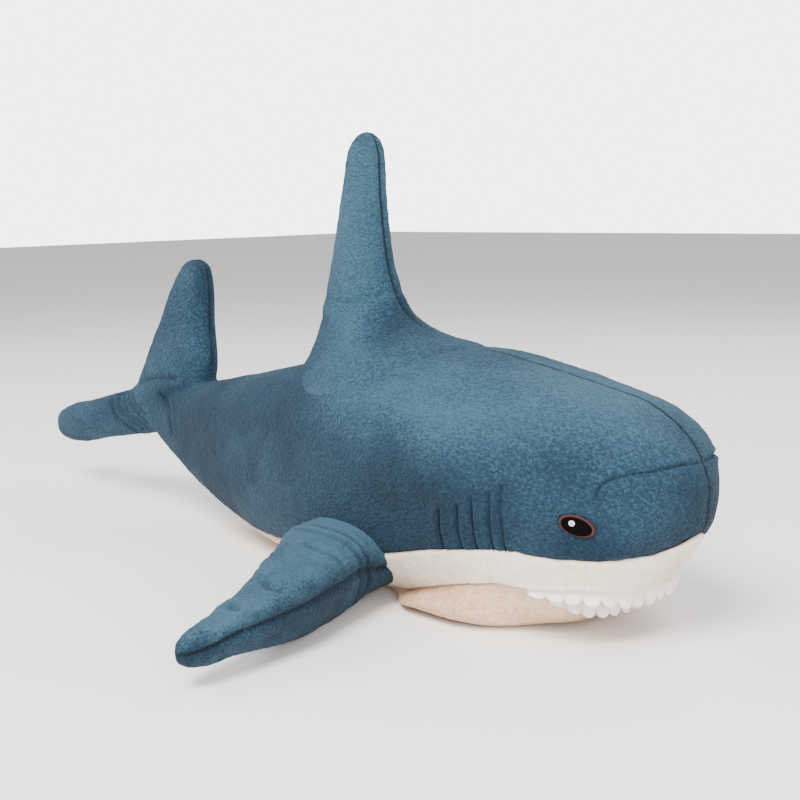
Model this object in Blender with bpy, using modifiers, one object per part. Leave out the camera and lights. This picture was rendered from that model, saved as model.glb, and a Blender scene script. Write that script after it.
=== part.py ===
"""A stuffed plush shark that lies on its belly, as the pieces it is sewn from.

The frame is in metres with +Z up. The nose points along +X, the belly lies on z = 0, and the shark's left
side is at +Y. A place along the body is given as its distance behind the nose, and a place around the body
as an angle from the back seam (0) to the belly line (pi).
"""

import math

import bmesh
import bpy
import numpy as np
from mathutils import Vector

NOSE_X = 0.69  # the nose tip; the lower tail lobe ends at -NOSE_X
SKIN = 0.003  # plush fabric with its backing
SEAM = 0.0004  # half of the gap between two panels
FILL_GAP = 0.003  # from a panel's inner face to the filling
FILL_AROUND = 20  # faces around a filling
FELT = 0.0012  # teeth and linings
AROUND = 7  # faces from the back seam to the side seam
UNDER = 5  # faces from the side seam to the belly line
MERGE = 1e-5  # points this close are one
SHARP = math.radians(50)
CUT_REACH = 1.0  # how far the cutters run past the toy

# distance behind the nose, height of the back, height of the underside, half width
BODY = np.array([
    (0.000, 0.190, 0.190, 0.000),
    (0.004, 0.209, 0.171, 0.023),
    (0.015, 0.232, 0.147, 0.048),
    (0.040, 0.259, 0.101, 0.082),
    (0.080, 0.281, 0.047, 0.104),
    (0.140, 0.294, 0.004, 0.126),
    (0.220, 0.310, -0.008, 0.144),
    (0.320, 0.324, -0.008, 0.153),
    (0.440, 0.319, -0.008, 0.151),
    (0.560, 0.302, -0.006, 0.140),
    (0.700, 0.272, 0.008, 0.112),
    (0.820, 0.247, 0.035, 0.082),
    (0.920, 0.229, 0.068, 0.058),
    (1.000, 0.211, 0.108, 0.043),
    (1.060, 0.206, 0.146, 0.036),
])
WIDEST = 0.44  # height of the widest line, as a share of the section
UPPER_POWER = 2.5  # superellipse powers of the section above and below the widest line
LOWER_POWER = 2.33

# distance behind the nose, angle of the blue panel's lower seam, angle of the lip and of the fold behind it
SEAMS = np.array([
    (0.000, 180, 180),
    (0.012, 180, 180),
    (0.020, 163, 180),
    (0.030, 147, 180),
    (0.042, 132, 180),
    (0.055, 121, 180),
    (0.068, 113, 180),
    (0.073, 111, 152),
    (0.085, 107, 134),
    (0.106, 101, 122),
    (0.137, 97, 116),
    (0.170, 95, 114),
    (0.205, 96, 114),
    (0.245, 99, 118),
    (0.290, 103, 125),
    (0.335, 108, 134),
    (0.380, 113, 144),
    (0.430, 118, 150),
    (0.465, 120, 137),
    (0.500, 122, 122),
    (0.570, 126, 126),
    (0.640, 131, 131),
    (0.700, 135, 135),
    (0.760, 139, 139),
    (0.820, 143, 143),
    (0.880, 148, 148),
    (0.940, 153, 153),
    (1.000, 158, 158),
    (1.060, 163, 163),
])
SEAM_TURN = math.radians(0.3)  # half of the gap between two panels, as an angle
TAIL_END = 1.06  # where the body's panels end inside the tail fin
BAND = (0.012, 0.500)  # the white band's front and rear ends

BEND_S, BEND_RADIUS = 0.745, 0.108  # the trunk bends sideways about this upright line
TAIL_S, TAIL_RADIUS = 1.045, 0.043  # and the tail fin about this one
SPLIT_GAP = 0.0003

MOUTH_S, MOUTH_Z, MOUTH_RADIUS = 0.170, 0.075, 0.0745  # the jaw turns about the corners of the mouth
LIP_S, LIP_Z = 0.068, 0.060  # the lip at the centre, which sets the slope of the palate
MOUTH_GAPE = 0.022  # how far the jaw's own plane lies below the palate there, at rest
JAW_CLEAR = math.radians(30)  # taken off the jaw behind its hinge, so that it can swing open
JAW_INSET, CHIN_BACK, CHIN_LIFT, JAW_NARROW = 0.007, 0.016, 0.003, 0.05
UPPER_TOOTH, LOWER_TOOTH = 0.0188, 0.0165  # widths of one scallop
UPPER_DROP, LOWER_DROP = 0.015, 0.013
TOOTH_ROOT = 0.45  # the strip's depth between two scallops, as a share of the drop
JAW_TURN = math.radians(92)  # the jaw's surface starts a little above the corners of the mouth
RIM_START = 0.008  # how far ahead of those corners the jaw's rim starts
JAW_ROWS = (0.030, 0.045, 0.055, 0.065, 0.078, 0.093, 0.110, 0.130, 0.150, 0.170, 0.195, 0.220, 0.250)
LIP_POINTS = 13

EYE_S, EYE_Z, EYE_TILT = 0.100, 0.152, math.radians(-17)
EYE_LONG, EYE_HIGH = 0.020, 0.0115  # half sizes of the embroidered eye
PATCH = 0.0008  # thickness of the embroidery and of the label tape
GILL_S = (0.181, 0.204, 0.225, 0.248, 0.271)
GILL_TOP = (0.189, 0.178, 0.169, 0.159, 0.149)
GILL_FOOT = (0.121, 0.120, 0.117, 0.114, 0.110)

PAD_ACROSS = 6  # faces across one panel of a fin
# Each fin: rows of (leading edge, trailing edge, half thickness), from its root to its tip. The edges are
# (distance behind the nose, height) on the dorsal and tail fins, and (distance behind the nose, distance
# out from the hinge) on the pectoral fins.
DORSAL = [
    ((0.425, 0.371), (0.638, 0.335), 0.042),
    ((0.466, 0.395), (0.630, 0.374), 0.040),
    ((0.490, 0.447), (0.611, 0.442), 0.033),
    ((0.497, 0.505), (0.588, 0.502), 0.028),
    ((0.501, 0.560), (0.566, 0.558), 0.024),
    ((0.508, 0.590), (0.554, 0.589), 0.018),
    ((0.530, 0.606), (0.530, 0.606), 0.000),
]
DORSAL_HINGE = ((0.425, 0.371), (0.638, 0.335))
PECTORAL = [
    ((0.360, 0.000), (0.508, 0.000), 0.049),
    ((0.342, 0.050), (0.480, 0.045), 0.049),
    ((0.327, 0.110), (0.447, 0.102), 0.046),
    ((0.320, 0.175), (0.415, 0.165), 0.042),
    ((0.322, 0.232), (0.390, 0.226), 0.033),
    ((0.332, 0.273), (0.373, 0.272), 0.022),
    ((0.352, 0.296), (0.352, 0.296), 0.000),
]
PECTORAL_S = 0.434
PECTORAL_Y, PECTORAL_Z, PECTORAL_DROOP = 0.188, 0.056, math.radians(3.5)
TAIL = [
    ((0.925, 0.430), (0.925, 0.430), 0.000),
    ((0.902, 0.412), (0.955, 0.418), 0.014),
    ((0.892, 0.370), (0.995, 0.378), 0.022),
    ((0.894, 0.325), (1.030, 0.330), 0.027),
    ((0.908, 0.285), (1.055, 0.290), 0.031),
    ((0.938, 0.250), (1.076, 0.253), 0.034),
    ((0.980, 0.236), (1.093, 0.227), 0.034),
    ((1.017, 0.204), (1.105, 0.207), 0.034),
    ((1.021, 0.162), (1.122, 0.201), 0.034),
    ((1.045, 0.136), (1.150, 0.195), 0.033),
    ((1.120, 0.121), (1.190, 0.186), 0.030),
    ((1.210, 0.104), (1.250, 0.172), 0.027),
    ((1.310, 0.085), (1.320, 0.157), 0.022),
    ((1.359, 0.090), (1.363, 0.134), 0.014),
    ((1.3811, 0.110), (1.3811, 0.110), 0.000),
]

FABRIC = {
    "blue_plush": ((0.070, 0.155, 0.245), 0.95),
    "white_plush": ((0.78, 0.74, 0.68), 0.95),
    "pink_lining": ((0.70, 0.35, 0.33), 0.90),
    "white_felt": ((0.85, 0.84, 0.82), 0.90),
    "filling": ((0.90, 0.90, 0.88), 1.00),
    "black_thread": ((0.010, 0.010, 0.012), 0.50),
    "brown_thread": ((0.16, 0.045, 0.035), 0.55),
    "white_thread": ((0.85, 0.85, 0.85), 0.50),
    "navy_thread": ((0.012, 0.030, 0.060), 0.60),
    "label_tape": ((0.88, 0.88, 0.86), 0.70),
}


# ---- scene ----


def clear_scene():
    for thing in list(bpy.data.objects):
        bpy.data.objects.remove(thing, do_unlink=True)
    toy = bpy.data.collections.new("plush_shark")
    cutters = bpy.data.collections.new("cutters")
    cutters.hide_render = True
    for made in (toy, cutters):
        bpy.context.scene.collection.children.link(made)
    return toy, cutters


def fabric(name):
    found = bpy.data.materials.get(name)
    if found:
        return found
    colour, roughness = FABRIC[name]
    made = bpy.data.materials.new(name)
    made.use_nodes = True
    shader = made.node_tree.nodes["Principled BSDF"]
    shader.inputs["Base Color"].default_value = (*colour, 1.0)
    shader.inputs["Roughness"].default_value = roughness
    shader.inputs["Metallic"].default_value = 0.0
    return made


def add_mesh(name, points, faces, cloth, origin=(0, 0, 0)):
    """A mesh object from points and faces, with coincident points merged and its origin on its joint."""
    mesh = bpy.data.meshes.new(name)
    mesh.from_pydata([tuple(point) for point in points], [], [tuple(face) for face in faces])
    work = bmesh.new()
    work.from_mesh(mesh)
    bmesh.ops.remove_doubles(work, verts=work.verts, dist=MERGE)
    bmesh.ops.dissolve_degenerate(work, edges=work.edges, dist=MERGE / 10)
    bmesh.ops.translate(work, verts=work.verts, vec=-Vector(origin))
    work.to_mesh(mesh)
    work.free()
    mesh.shade_smooth()
    mesh.set_sharp_from_angle(angle=SHARP)
    mesh.materials.append(fabric(cloth))
    thing = bpy.data.objects.new(name, mesh)
    thing.location = origin
    TOY.objects.link(thing)
    return thing


def thicken(thing, thickness=SKIN):
    """Gives an open surface its cloth thickness, outwards."""
    solid = thing.modifiers.new("cloth", "SOLIDIFY")
    solid.thickness = thickness
    solid.offset = 1
    return thing


def cut(thing, cutter, operation="DIFFERENCE"):
    boolean = thing.modifiers.new(cutter.name, "BOOLEAN")
    boolean.operation = operation
    boolean.object = cutter
    return thing


def cutter_prism(name, outline, low, high, across="z"):
    """A cutting prism: an outline of (x, y) or (x, z) points, carried from low to high along the third direction."""
    mesh = bpy.data.meshes.new(name)
    work = bmesh.new()
    if across == "z":
        ring = [work.verts.new((x, y, low)) for x, y in outline]
        step = (0, 0, high - low)
    else:
        ring = [work.verts.new((x, low, z)) for x, z in outline]
        step = (0, high - low, 0)
    face = work.faces.new(ring)
    grown = bmesh.ops.extrude_face_region(work, geom=[face])["geom"]
    moved = [part for part in grown if isinstance(part, bmesh.types.BMVert)]
    bmesh.ops.translate(work, verts=moved, vec=step)
    bmesh.ops.recalc_face_normals(work, faces=work.faces)
    work.to_mesh(mesh)
    work.free()
    thing = bpy.data.objects.new(name, mesh)
    thing.hide_render = True
    thing.display_type = "WIRE"
    CUTTERS.objects.link(thing)
    return thing


# ---- the body's surface ----


def smooth_through(stations, values, at):
    """A smooth curve through the stations: cubic pieces that share their slopes."""
    slopes = np.gradient(values, stations, axis=0)
    piece = np.clip(np.searchsorted(stations, at, side="right") - 1, 0, len(stations) - 2)
    width = stations[piece + 1] - stations[piece]
    t = (at - stations[piece]) / width
    return (
        values[piece] * (1 + 2 * t) * (1 - t) ** 2
        + slopes[piece] * width * t * (1 - t) ** 2
        + values[piece + 1] * t**2 * (3 - 2 * t)
        + slopes[piece + 1] * width * t**2 * (t - 1)
    )


def raw_point(s, angle):
    """The outside of the body. Its sections are superellipses; near the nose they grow as a square root."""
    root = np.sqrt(np.maximum(s, 0))
    back, under, half = (smooth_through(np.sqrt(BODY[:, 0]), BODY[:, i], root) for i in (1, 2, 3))
    middle = under + WIDEST * (back - under)
    up, out = np.cos(angle), np.sin(angle)
    power = np.where(up >= 0, 2 / UPPER_POWER, 2 / LOWER_POWER)
    reach = np.where(up >= 0, back - middle, middle - under)
    return np.stack([
        NOSE_X - s,
        half * np.sign(out) * np.abs(out) ** power,
        middle + reach * np.sign(up) * np.abs(up) ** power,
    ], axis=-1)


def body_point(s, angle, inset=0.0):
    """The body's surface, moved inwards by inset and pressed flat where it lies on the floor."""
    s, angle = np.broadcast_arrays(np.asarray(s, float), np.asarray(angle, float))
    near = np.maximum(s, 1e-4)
    step_s, step_angle = 1e-3 * np.sqrt(near), 0.02
    along = raw_point(near + step_s, angle) - raw_point(np.maximum(near - step_s, 5e-5), angle)
    around = raw_point(near, angle + step_angle) - raw_point(near, angle - step_angle)
    normal = np.cross(around, along)
    normal /= np.maximum(np.linalg.norm(normal, axis=-1, keepdims=True), 1e-12)
    normal[s <= 0] = (1, 0, 0)
    point = raw_point(s, angle) - inset * normal
    point[..., 2] = np.maximum(point[..., 2], inset)
    return point


def seam_angle(s, column):
    return np.radians(np.interp(s, SEAMS[:, 0], SEAMS[:, column]))


def grid_faces(rows, columns, flipped=False):
    corner = (np.arange(rows - 1)[:, None] * columns + np.arange(columns - 1)).ravel()
    faces = np.stack([corner, corner + 1, corner + columns + 1, corner + columns], axis=1)
    return faces[:, ::-1] if flipped else faces


def half_sheet(points, side):
    """One side of a sheet on the body. The centre line stays SEAM away from the middle plane."""
    sheet = points.copy()
    sheet[..., 1] = side * np.maximum(np.abs(sheet[..., 1]), SEAM)
    rows, columns = sheet.shape[:2]
    return sheet.reshape(-1, 3), grid_faces(rows, columns, flipped=side < 0)


def whole_sheet(points):
    """A sheet that runs under the belly from one side to the other, from the points of its left half."""
    both = np.concatenate([points, points[:, -2::-1] * (1, -1, 1)], axis=1)
    rows, columns = both.shape[:2]
    return both.reshape(-1, 3), grid_faces(rows, columns)


def between(s, start, end, count):
    """Angles that run from start to end at each place along the body."""
    share = np.linspace(0, 1, count + 1)
    return s[:, None], start[:, None] + (end - start)[:, None] * share


def closed_loft(rings):
    """A closed solid through rings of equal count, with its end rings filled."""
    count, around = rings.shape[:2]
    faces = []
    for i in range(count - 1):
        for j in range(around):
            k = (j + 1) % around
            faces.append((i * around + j, i * around + k, (i + 1) * around + k, (i + 1) * around + j))
    faces.append(range(around - 1, -1, -1))
    faces.append(range((count - 1) * around, count * around))
    return rings.reshape(-1, 3), faces


def facing_out(thing):
    work = bmesh.new()
    work.from_mesh(thing.data)
    bmesh.ops.recalc_face_normals(work, faces=work.faces)
    work.to_mesh(thing.data)
    work.free()
    return thing


# ---- the cutters that part the moving bodies ----


def bend_cutter(name, s, radius):
    """Everything behind an upright line, with a round front of this radius about it."""
    turns = np.linspace(-math.pi / 2, math.pi / 2, 25)
    outline = [(NOSE_X - s + radius * math.cos(t), radius * math.sin(t)) for t in turns]
    outline += [(-CUT_REACH, radius), (-CUT_REACH, -radius)]
    return cutter_prism(name, outline, -CUT_REACH, CUT_REACH)


def mouth_height(s, gape=0.0):
    """The height of the palate's plane, or of the jaw's, which falls away from it by the gape."""
    return MOUTH_Z + (MOUTH_Z - LIP_Z + gape) / (MOUTH_S - LIP_S) * (s - MOUTH_S)


def mouth_cutter(name, raised, radius, gape=0.0, clear=0.0):
    """The space under a plane of the mouth, with a round back about the corners of the mouth."""
    slope = math.atan2(MOUTH_Z - LIP_Z, MOUTH_S - LIP_S)
    hinge_x, hinge_z = NOSE_X - MOUTH_S, MOUTH_Z
    turns = np.linspace(-math.pi - slope + clear, -math.pi / 2, 13)
    arc = [(hinge_x + radius * math.cos(t), hinge_z + raised + radius * math.sin(t)) for t in turns]
    front, below = CUT_REACH, -CUT_REACH
    outline = [(front, below), (front, mouth_height(NOSE_X - front, gape) + raised)]
    outline += [(hinge_x, hinge_z + raised)]
    outline += arc
    outline += [(hinge_x, below)]
    return cutter_prism(name, outline, -CUT_REACH, CUT_REACH, across="y")


# ---- the trunk and its rear half ----


def rows_between(first, last):
    stations = SEAMS[:, 0]
    return stations[(stations >= first - 1e-9) & (stations <= last + 1e-9)]


def back_panel(name, side, origin):
    s = rows_between(0, TAIL_END)
    start = np.zeros(len(s))
    at, angles = between(s, start, seam_angle(s, 1) - SEAM_TURN, AROUND)
    points, faces = half_sheet(body_point(at, angles, SKIN), side)
    return thicken(add_mesh(name, points, faces, "blue_plush", origin))


def belly_panel(name, origin):
    s = rows_between(MOUTH_S, TAIL_END)
    at, angles = between(s, seam_angle(s, 2) + SEAM_TURN, np.full(len(s), math.pi), UNDER)
    points, faces = whole_sheet(body_point(at, angles, SKIN))
    return thicken(add_mesh(name, points, faces, "white_plush", origin))


def muzzle_panel():
    """The white band around the snout, from the blue panels down to the lip and the fold behind it."""
    s = rows_between(*BAND)
    upper, lower = seam_angle(s, 1) + SEAM_TURN, seam_angle(s, 2) - SEAM_TURN
    front = s < LIP_S + 1e-6
    lower[front] = math.pi
    at, angles = between(s[1:-1], upper[1:-1], lower[1:-1], 3)
    left = body_point(at, angles, SKIN)
    rows, columns = left.shape[:2]
    halves = []
    for side in (1, -1):
        half = left.copy()
        half[..., 1] = side * np.abs(half[..., 1])
        halves.append(half.reshape(-1, 3))
    faces = np.concatenate([grid_faces(rows, columns), grid_faces(rows, columns, True) + rows * columns])
    return thicken(add_mesh("muzzle_panel", np.concatenate(halves), faces, "white_plush"))


def trunk_loft(name, first, last, origin=(0, 0, 0)):
    s = rows_between(first, last)
    turns = np.linspace(0, 2 * math.pi, FILL_AROUND, endpoint=False)
    points, faces = closed_loft(body_point(s[:, None], turns, SKIN + FILL_GAP))
    return facing_out(add_mesh(name, points, faces, "filling", origin))


def make_trunk():
    behind = bend_cutter("bend_space", BEND_S, BEND_RADIUS + SPLIT_GAP)
    ahead = bend_cutter("bend_core", BEND_S, BEND_RADIUS - SPLIT_GAP)
    fin_space = bend_cutter("tail_space", TAIL_S, TAIL_RADIUS + SPLIT_GAP)
    mouth = mouth_cutter("mouth_space", SPLIT_GAP, MOUTH_RADIUS + SPLIT_GAP)
    deep_mouth = mouth_cutter("mouth_space_deep", 2 * FELT + SPLIT_GAP, MOUTH_RADIUS + FILL_GAP)
    bend = (NOSE_X - BEND_S, 0, 0.14)
    for side, word in ((1, "left"), (-1, "right")):
        cut(back_panel(f"back_panel_{word}", side, (0, 0, 0)), behind)
        cut(cut(back_panel(f"rear_panel_{word}", side, bend), ahead, "INTERSECT"), fin_space)
    muzzle_panel()
    cut(cut(belly_panel("belly_panel", (0, 0, 0)), behind), mouth)
    cut(cut(belly_panel("rear_belly_panel", bend), ahead, "INTERSECT"), fin_space)
    cut(cut(trunk_loft("trunk_filling", BAND[0], 1.0), behind), deep_mouth)
    cut(cut(trunk_loft("rear_filling", 0.570, TAIL_END, bend), ahead, "INTERSECT"), fin_space)


# ---- the mouth ----


def jaw_point(s, angle, inset=0.0):
    """The jaw follows the body's surface, a little inside it, and its chin sits back from the nose."""
    point = body_point(s, angle, inset + JAW_INSET)
    ahead = np.clip((MOUTH_S - np.asarray(s)) / (MOUTH_S - LIP_S), 0, 1)
    ahead = np.broadcast_to(ahead * ahead * (3 - 2 * ahead), point.shape[:-1])
    point[..., 0] -= CHIN_BACK * ahead
    point[..., 1] *= 1 - JAW_NARROW * ahead
    point[..., 2] += CHIN_LIFT * ahead
    return point


def jaw_rim(count):
    """The jaw's outer edge on the parting plane, from the left corner to the centre of the chin."""
    turns = np.linspace(JAW_TURN, math.pi, 60)
    rim = []
    for s in np.linspace(MOUTH_S - RIM_START, 0.04, 80):
        points = jaw_point(np.full(len(turns), s), turns)
        above = points[:, 2] - (mouth_height(NOSE_X - points[:, 0], MOUTH_GAPE) - SPLIT_GAP)
        if above[-1] > 0:
            break
        turn = np.interp(0, above[::-1], turns[::-1])
        rim.append(jaw_point(s, turn))
    rim = np.array(rim)
    front = np.array([rim[-1][0] + 0.002, 0, rim[-1][2]])
    return spread(np.vstack([rim, front]), count)


def lip_line(count):
    """The lip on the body's surface, from the left corner of the mouth to the centre of the nose."""
    s = rows_between(LIP_S, MOUTH_S)[::-1]
    return spread(body_point(s, seam_angle(s, 2), 0.0), count)


def spread(line, count):
    """Points set evenly along a line."""
    lengths = np.concatenate([[0], np.cumsum(np.linalg.norm(np.diff(line, axis=0), axis=1))])
    at = np.linspace(0, lengths[-1], count)
    return np.stack([np.interp(at, lengths, line[:, i]) for i in range(3)], axis=1)


def both_sides(line):
    return np.concatenate([line, line[-2::-1] * (1, -1, 1)])


def teeth(name, line, pitch, drop, shift, origin):
    """A felt strip with a scalloped edge, hanging from a line around the jaw."""
    line = both_sides(line)
    length = np.linalg.norm(np.diff(line, axis=0), axis=1).sum()
    scallops = max(int(round(length / pitch)), 2)
    line = spread(line, 4 * scallops + 1)
    along = np.gradient(line, axis=0)
    out = np.cross((0, 0, 1), along)
    out /= np.linalg.norm(out, axis=1, keepdims=True)
    line = line + out * shift
    share = np.abs(np.sin(np.linspace(0, scallops * math.pi, len(line))))
    depth = drop * (TOOTH_ROOT + (1 - TOOTH_ROOT) * np.sqrt(share))
    points = np.array([line - np.array([[0, 0, 1]]) * (2 * SPLIT_GAP + part * depth[:, None]) for part in (0, 1)])
    count, columns = points.shape[:2]
    strip = add_mesh(name, points.reshape(-1, 3), grid_faces(count, columns), "white_felt", origin)
    solid = thicken(strip, FELT).modifiers["cloth"]
    solid.offset = 0
    return strip


def lining(name, rim, inset, below, origin, gape=0.0):
    """A flat lining along a plane of the mouth, with the outline of its rim drawn in by inset."""
    outline = both_sides(rim)[:, :2]
    middle = np.array([outline[0, 0], 0.0])
    reach = np.linalg.norm(outline - middle, axis=1, keepdims=True)
    outline = middle + (outline - middle) * (1 - inset / reach)
    height = mouth_height(NOSE_X - outline[:, 0], gape) - below
    return facing_out(add_mesh(name, *plate(outline, height), "pink_lining", origin))


def plate(outline, height):
    """An outline raised to these heights, as a plate one felt thick."""
    top = np.column_stack([outline, height])
    bottom = np.column_stack([outline, height - FELT])
    count = len(outline)
    faces = [tuple(range(count)), tuple(range(2 * count - 1, count - 1, -1))]
    faces += [(i, i + count, (i + 1) % count + count, (i + 1) % count) for i in range(count)]
    return np.concatenate([top, bottom]), faces


def make_mouth():
    hinge = (NOSE_X - MOUTH_S, 0, MOUTH_Z)
    jaw_space = mouth_cutter("jaw_space", -SPLIT_GAP, MOUTH_RADIUS - SPLIT_GAP, MOUTH_GAPE, JAW_CLEAR)
    sunk = -2 * FELT - SPLIT_GAP
    fill_space = mouth_cutter("jaw_fill_space", sunk, MOUTH_RADIUS - FILL_GAP, MOUTH_GAPE, JAW_CLEAR)
    s = np.array(JAW_ROWS)
    at, angles = between(s, np.full(len(s), JAW_TURN), np.full(len(s), math.pi), AROUND)
    points, faces = whole_sheet(jaw_point(at, angles, SKIN))
    cut(thicken(add_mesh("jaw_skin", points, faces, "white_plush", hinge)), jaw_space, "INTERSECT")
    turns = np.linspace(0, 2 * math.pi, 24, endpoint=False)
    points, faces = closed_loft(jaw_point(s[:, None], turns, SKIN + FILL_GAP))
    filling = facing_out(add_mesh("jaw_filling", points, faces, "filling", hinge))
    cut(filling, fill_space, "INTERSECT")
    rim = jaw_rim(LIP_POINTS)
    lining("palate_lining", lip_line(LIP_POINTS), 0.009, -2 * FELT, (0, 0, 0))
    lining("jaw_lining", rim, SKIN + 0.004, 3 * SPLIT_GAP, hinge, MOUTH_GAPE)
    teeth("upper_teeth", lip_line(LIP_POINTS), UPPER_TOOTH, UPPER_DROP, -0.0014, (0, 0, 0))
    teeth("lower_teeth", rim, LOWER_TOOTH, LOWER_DROP, 0.0012, hinge)


# ---- eyes and gills ----


def side_height(s, z, side, lift):
    """A point on the flank at this height above the floor, lifted off the surface."""
    turns = np.radians(np.linspace(40, 150, 221))
    heights = raw_point(np.full(len(turns), s), turns)[:, 2]
    turn = np.interp(-z, -heights, turns)
    return body_point(s, turn, -lift) * (1, side, 1)


def eye_disc(name, side, scale, shift, lift, cloth):
    """An embroidered oval that follows the flank, one thread thick."""
    rings = [(0.0, 1), (0.5, 16), (1.0, 16)]
    points, faces = [], []
    for share, count in rings:
        for i in range(count):
            turn = 2 * math.pi * i / 16
            a = shift[0] + EYE_LONG * scale * share * math.cos(turn)
            b = shift[1] + EYE_HIGH * scale * share * math.sin(turn)
            s = EYE_S + a * math.cos(EYE_TILT) + b * math.sin(EYE_TILT)
            z = EYE_Z - a * math.sin(EYE_TILT) + b * math.cos(EYE_TILT)
            points.append(side_height(s, z, side, lift))
    for i in range(16):
        j = (i + 1) % 16
        faces.append((0, 1 + i, 1 + j))
        faces.append((1 + i, 17 + i, 17 + j, 1 + j))
    if side > 0:
        faces = [face[::-1] for face in faces]
    return thicken(add_mesh(name, points, faces, cloth), PATCH)


def make_eyes():
    for side, word in ((1, "left"), (-1, "right")):
        eye_disc(f"eye_ring_{word}", side, 1.0, (0, 0), 0.0012, "brown_thread")
        eye_disc(f"eye_pupil_{word}", side, 0.82, (0, 0), 0.0026, "black_thread")
        eye_disc(f"eye_highlight_{word}", side, 0.16, (0.005, 0.0015), 0.0040, "white_thread")


def thread(name, points, radius, cloth):
    """A stitched line as a thin tube."""
    curve = bpy.data.curves.new(name, "CURVE")
    curve.dimensions = "3D"
    curve.bevel_depth = radius
    curve.bevel_resolution = 1
    curve.use_fill_caps = True
    spline = curve.splines.new("POLY")
    spline.points.add(len(points) - 1)
    for place, point in zip(spline.points, points):
        place.co = (*point, 1.0)
    curve.materials.append(fabric(cloth))
    made = bpy.data.objects.new(name, curve)
    TOY.objects.link(made)
    return made


def make_stitches():
    for side, word in ((1, "left"), (-1, "right")):
        for i, (s, top, foot) in enumerate(zip(GILL_S, GILL_TOP, GILL_FOOT)):
            line = [side_height(s, z, side, 0.0024) for z in np.linspace(top, foot, 5)]
            thread(f"gill_stitch_{word}_{i + 1}", line, 0.0009, "navy_thread")
    s = np.linspace(0.575, 0.635, 11)
    turns = seam_angle(s, 1) + np.where(np.arange(len(s)) % 2, 0.02, -0.02)
    closing = body_point(s, turns, -0.0024)
    thread("closing_stitch", closing, 0.0007, "navy_thread")


# ---- fins ----


def pad_rows(rows, inset):
    """The rows of a fin, drawn in by inset at both edges and both faces."""
    edge_a = np.array([row[0] for row in rows], float)
    edge_b = np.array([row[1] for row in rows], float)
    half = np.array([row[2] for row in rows], float)
    middle, reach = (edge_a + edge_b) / 2, (edge_b - edge_a) / 2
    length = np.linalg.norm(reach, axis=1)
    reach = reach * np.where(length > 1e-9, np.maximum(1 - inset / np.maximum(length, 1e-9), 0), 0)[:, None]
    for end, inner in ((0, 1), (-1, -2)):
        if half[end] == 0:
            step = middle[inner] - middle[end]
            middle[end] = middle[end] + step / np.linalg.norm(step) * inset
    return middle, reach, np.where(half > 0, np.maximum(half - inset, 0.002), 0)


def pad_points(rows, turns, inset, to_world):
    """A fin's surface: each row is an ellipse between its two edges, at these angles around it."""
    middle, reach, half = pad_rows(rows, inset)
    flat = middle[:, None, :] - reach[:, None, :] * np.cos(turns)[None, :, None]
    thick = half[:, None] * np.sin(turns)[None, :]
    return to_world(flat, thick)


def pad_panel(name, rows, face, to_world, origin):
    """One of the two panels of a fin."""
    turns = np.linspace(0, math.pi, PAD_ACROSS + 1) * face
    points = pad_points(rows, turns, SKIN, lambda flat, thick: to_world(flat, keep_off(thick, face)))
    count, across = points.shape[:2]
    return add_mesh(name, points.reshape(-1, 3), grid_faces(count, across), "blue_plush", origin)


def keep_off(thick, face):
    return face * np.maximum(np.abs(thick), SEAM)


def pad_filling(name, rows, to_world, origin):
    turns = np.linspace(0, 2 * math.pi, 2 * PAD_ACROSS, endpoint=False)
    points, faces = closed_loft(pad_points(rows, turns, SKIN + FILL_GAP, to_world))
    return facing_out(add_mesh(name, points, faces, "filling", origin))


def turned_out(thing, outward):
    """Flips an open sheet whose first faces point away from the outward direction."""
    total = Vector((0, 0, 0))
    for face in thing.data.polygons:
        total += face.normal * face.area
    if total.dot(Vector(outward)) < 0:
        thing.data.flip_normals()
    return thing


def knuckle(rows):
    """Rows that round a fin's root about its hinge line, so that it turns on its seat."""
    (a, b, half), down = rows[0], []
    across = np.array(b) - np.array(a)
    inward = np.array([-across[1], across[0]]) / np.linalg.norm(across)
    if inward @ (np.array(rows[1][0]) - np.array(a)) > 0:
        inward = -inward
    for turn in (70, 45, 22):
        sink, shrink = half * math.sin(math.radians(turn)), math.cos(math.radians(turn))
        down.append((tuple(np.array(a) + inward * sink), tuple(np.array(b) + inward * sink), half * shrink))
    return down + list(rows)


def make_dorsal():
    (s0, z0), (s1, z1) = DORSAL_HINGE
    origin = (NOSE_X - (s0 + s1) / 2, 0, (z0 + z1) / 2)

    def to_world(flat, thick):
        return np.stack([NOSE_X - flat[..., 0] + 0 * thick, thick, flat[..., 1] + 0 * thick], axis=-1)

    for side, word in ((1, "left"), (-1, "right")):
        panel = pad_panel(f"dorsal_panel_{word}", DORSAL, side, to_world, origin)
        thicken(turned_out(panel, (0, side, 0)))
    pad_filling("dorsal_filling", knuckle(DORSAL), to_world, origin)


def make_pectorals():
    for side, word in ((1, "left"), (-1, "right")):
        origin = (NOSE_X - PECTORAL_S, side * PECTORAL_Y, PECTORAL_Z)

        def to_world(flat, thick, side=side):
            reach = flat[..., 1]
            out = PECTORAL_Y + reach * math.cos(PECTORAL_DROOP) + thick * math.sin(PECTORAL_DROOP)
            up = PECTORAL_Z - reach * math.sin(PECTORAL_DROOP) + thick * math.cos(PECTORAL_DROOP)
            return np.stack([NOSE_X - flat[..., 0] + 0 * thick, side * out, up], axis=-1)

        top = pad_panel(f"pectoral_top_{word}", PECTORAL, 1, to_world, origin)
        under = pad_panel(f"pectoral_under_{word}", PECTORAL, -1, to_world, origin)
        thicken(turned_out(top, (0, 0, 1)))
        thicken(turned_out(under, (0, 0, -1)))
        pad_filling(f"pectoral_filling_{word}", knuckle(PECTORAL), to_world, origin)


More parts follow.
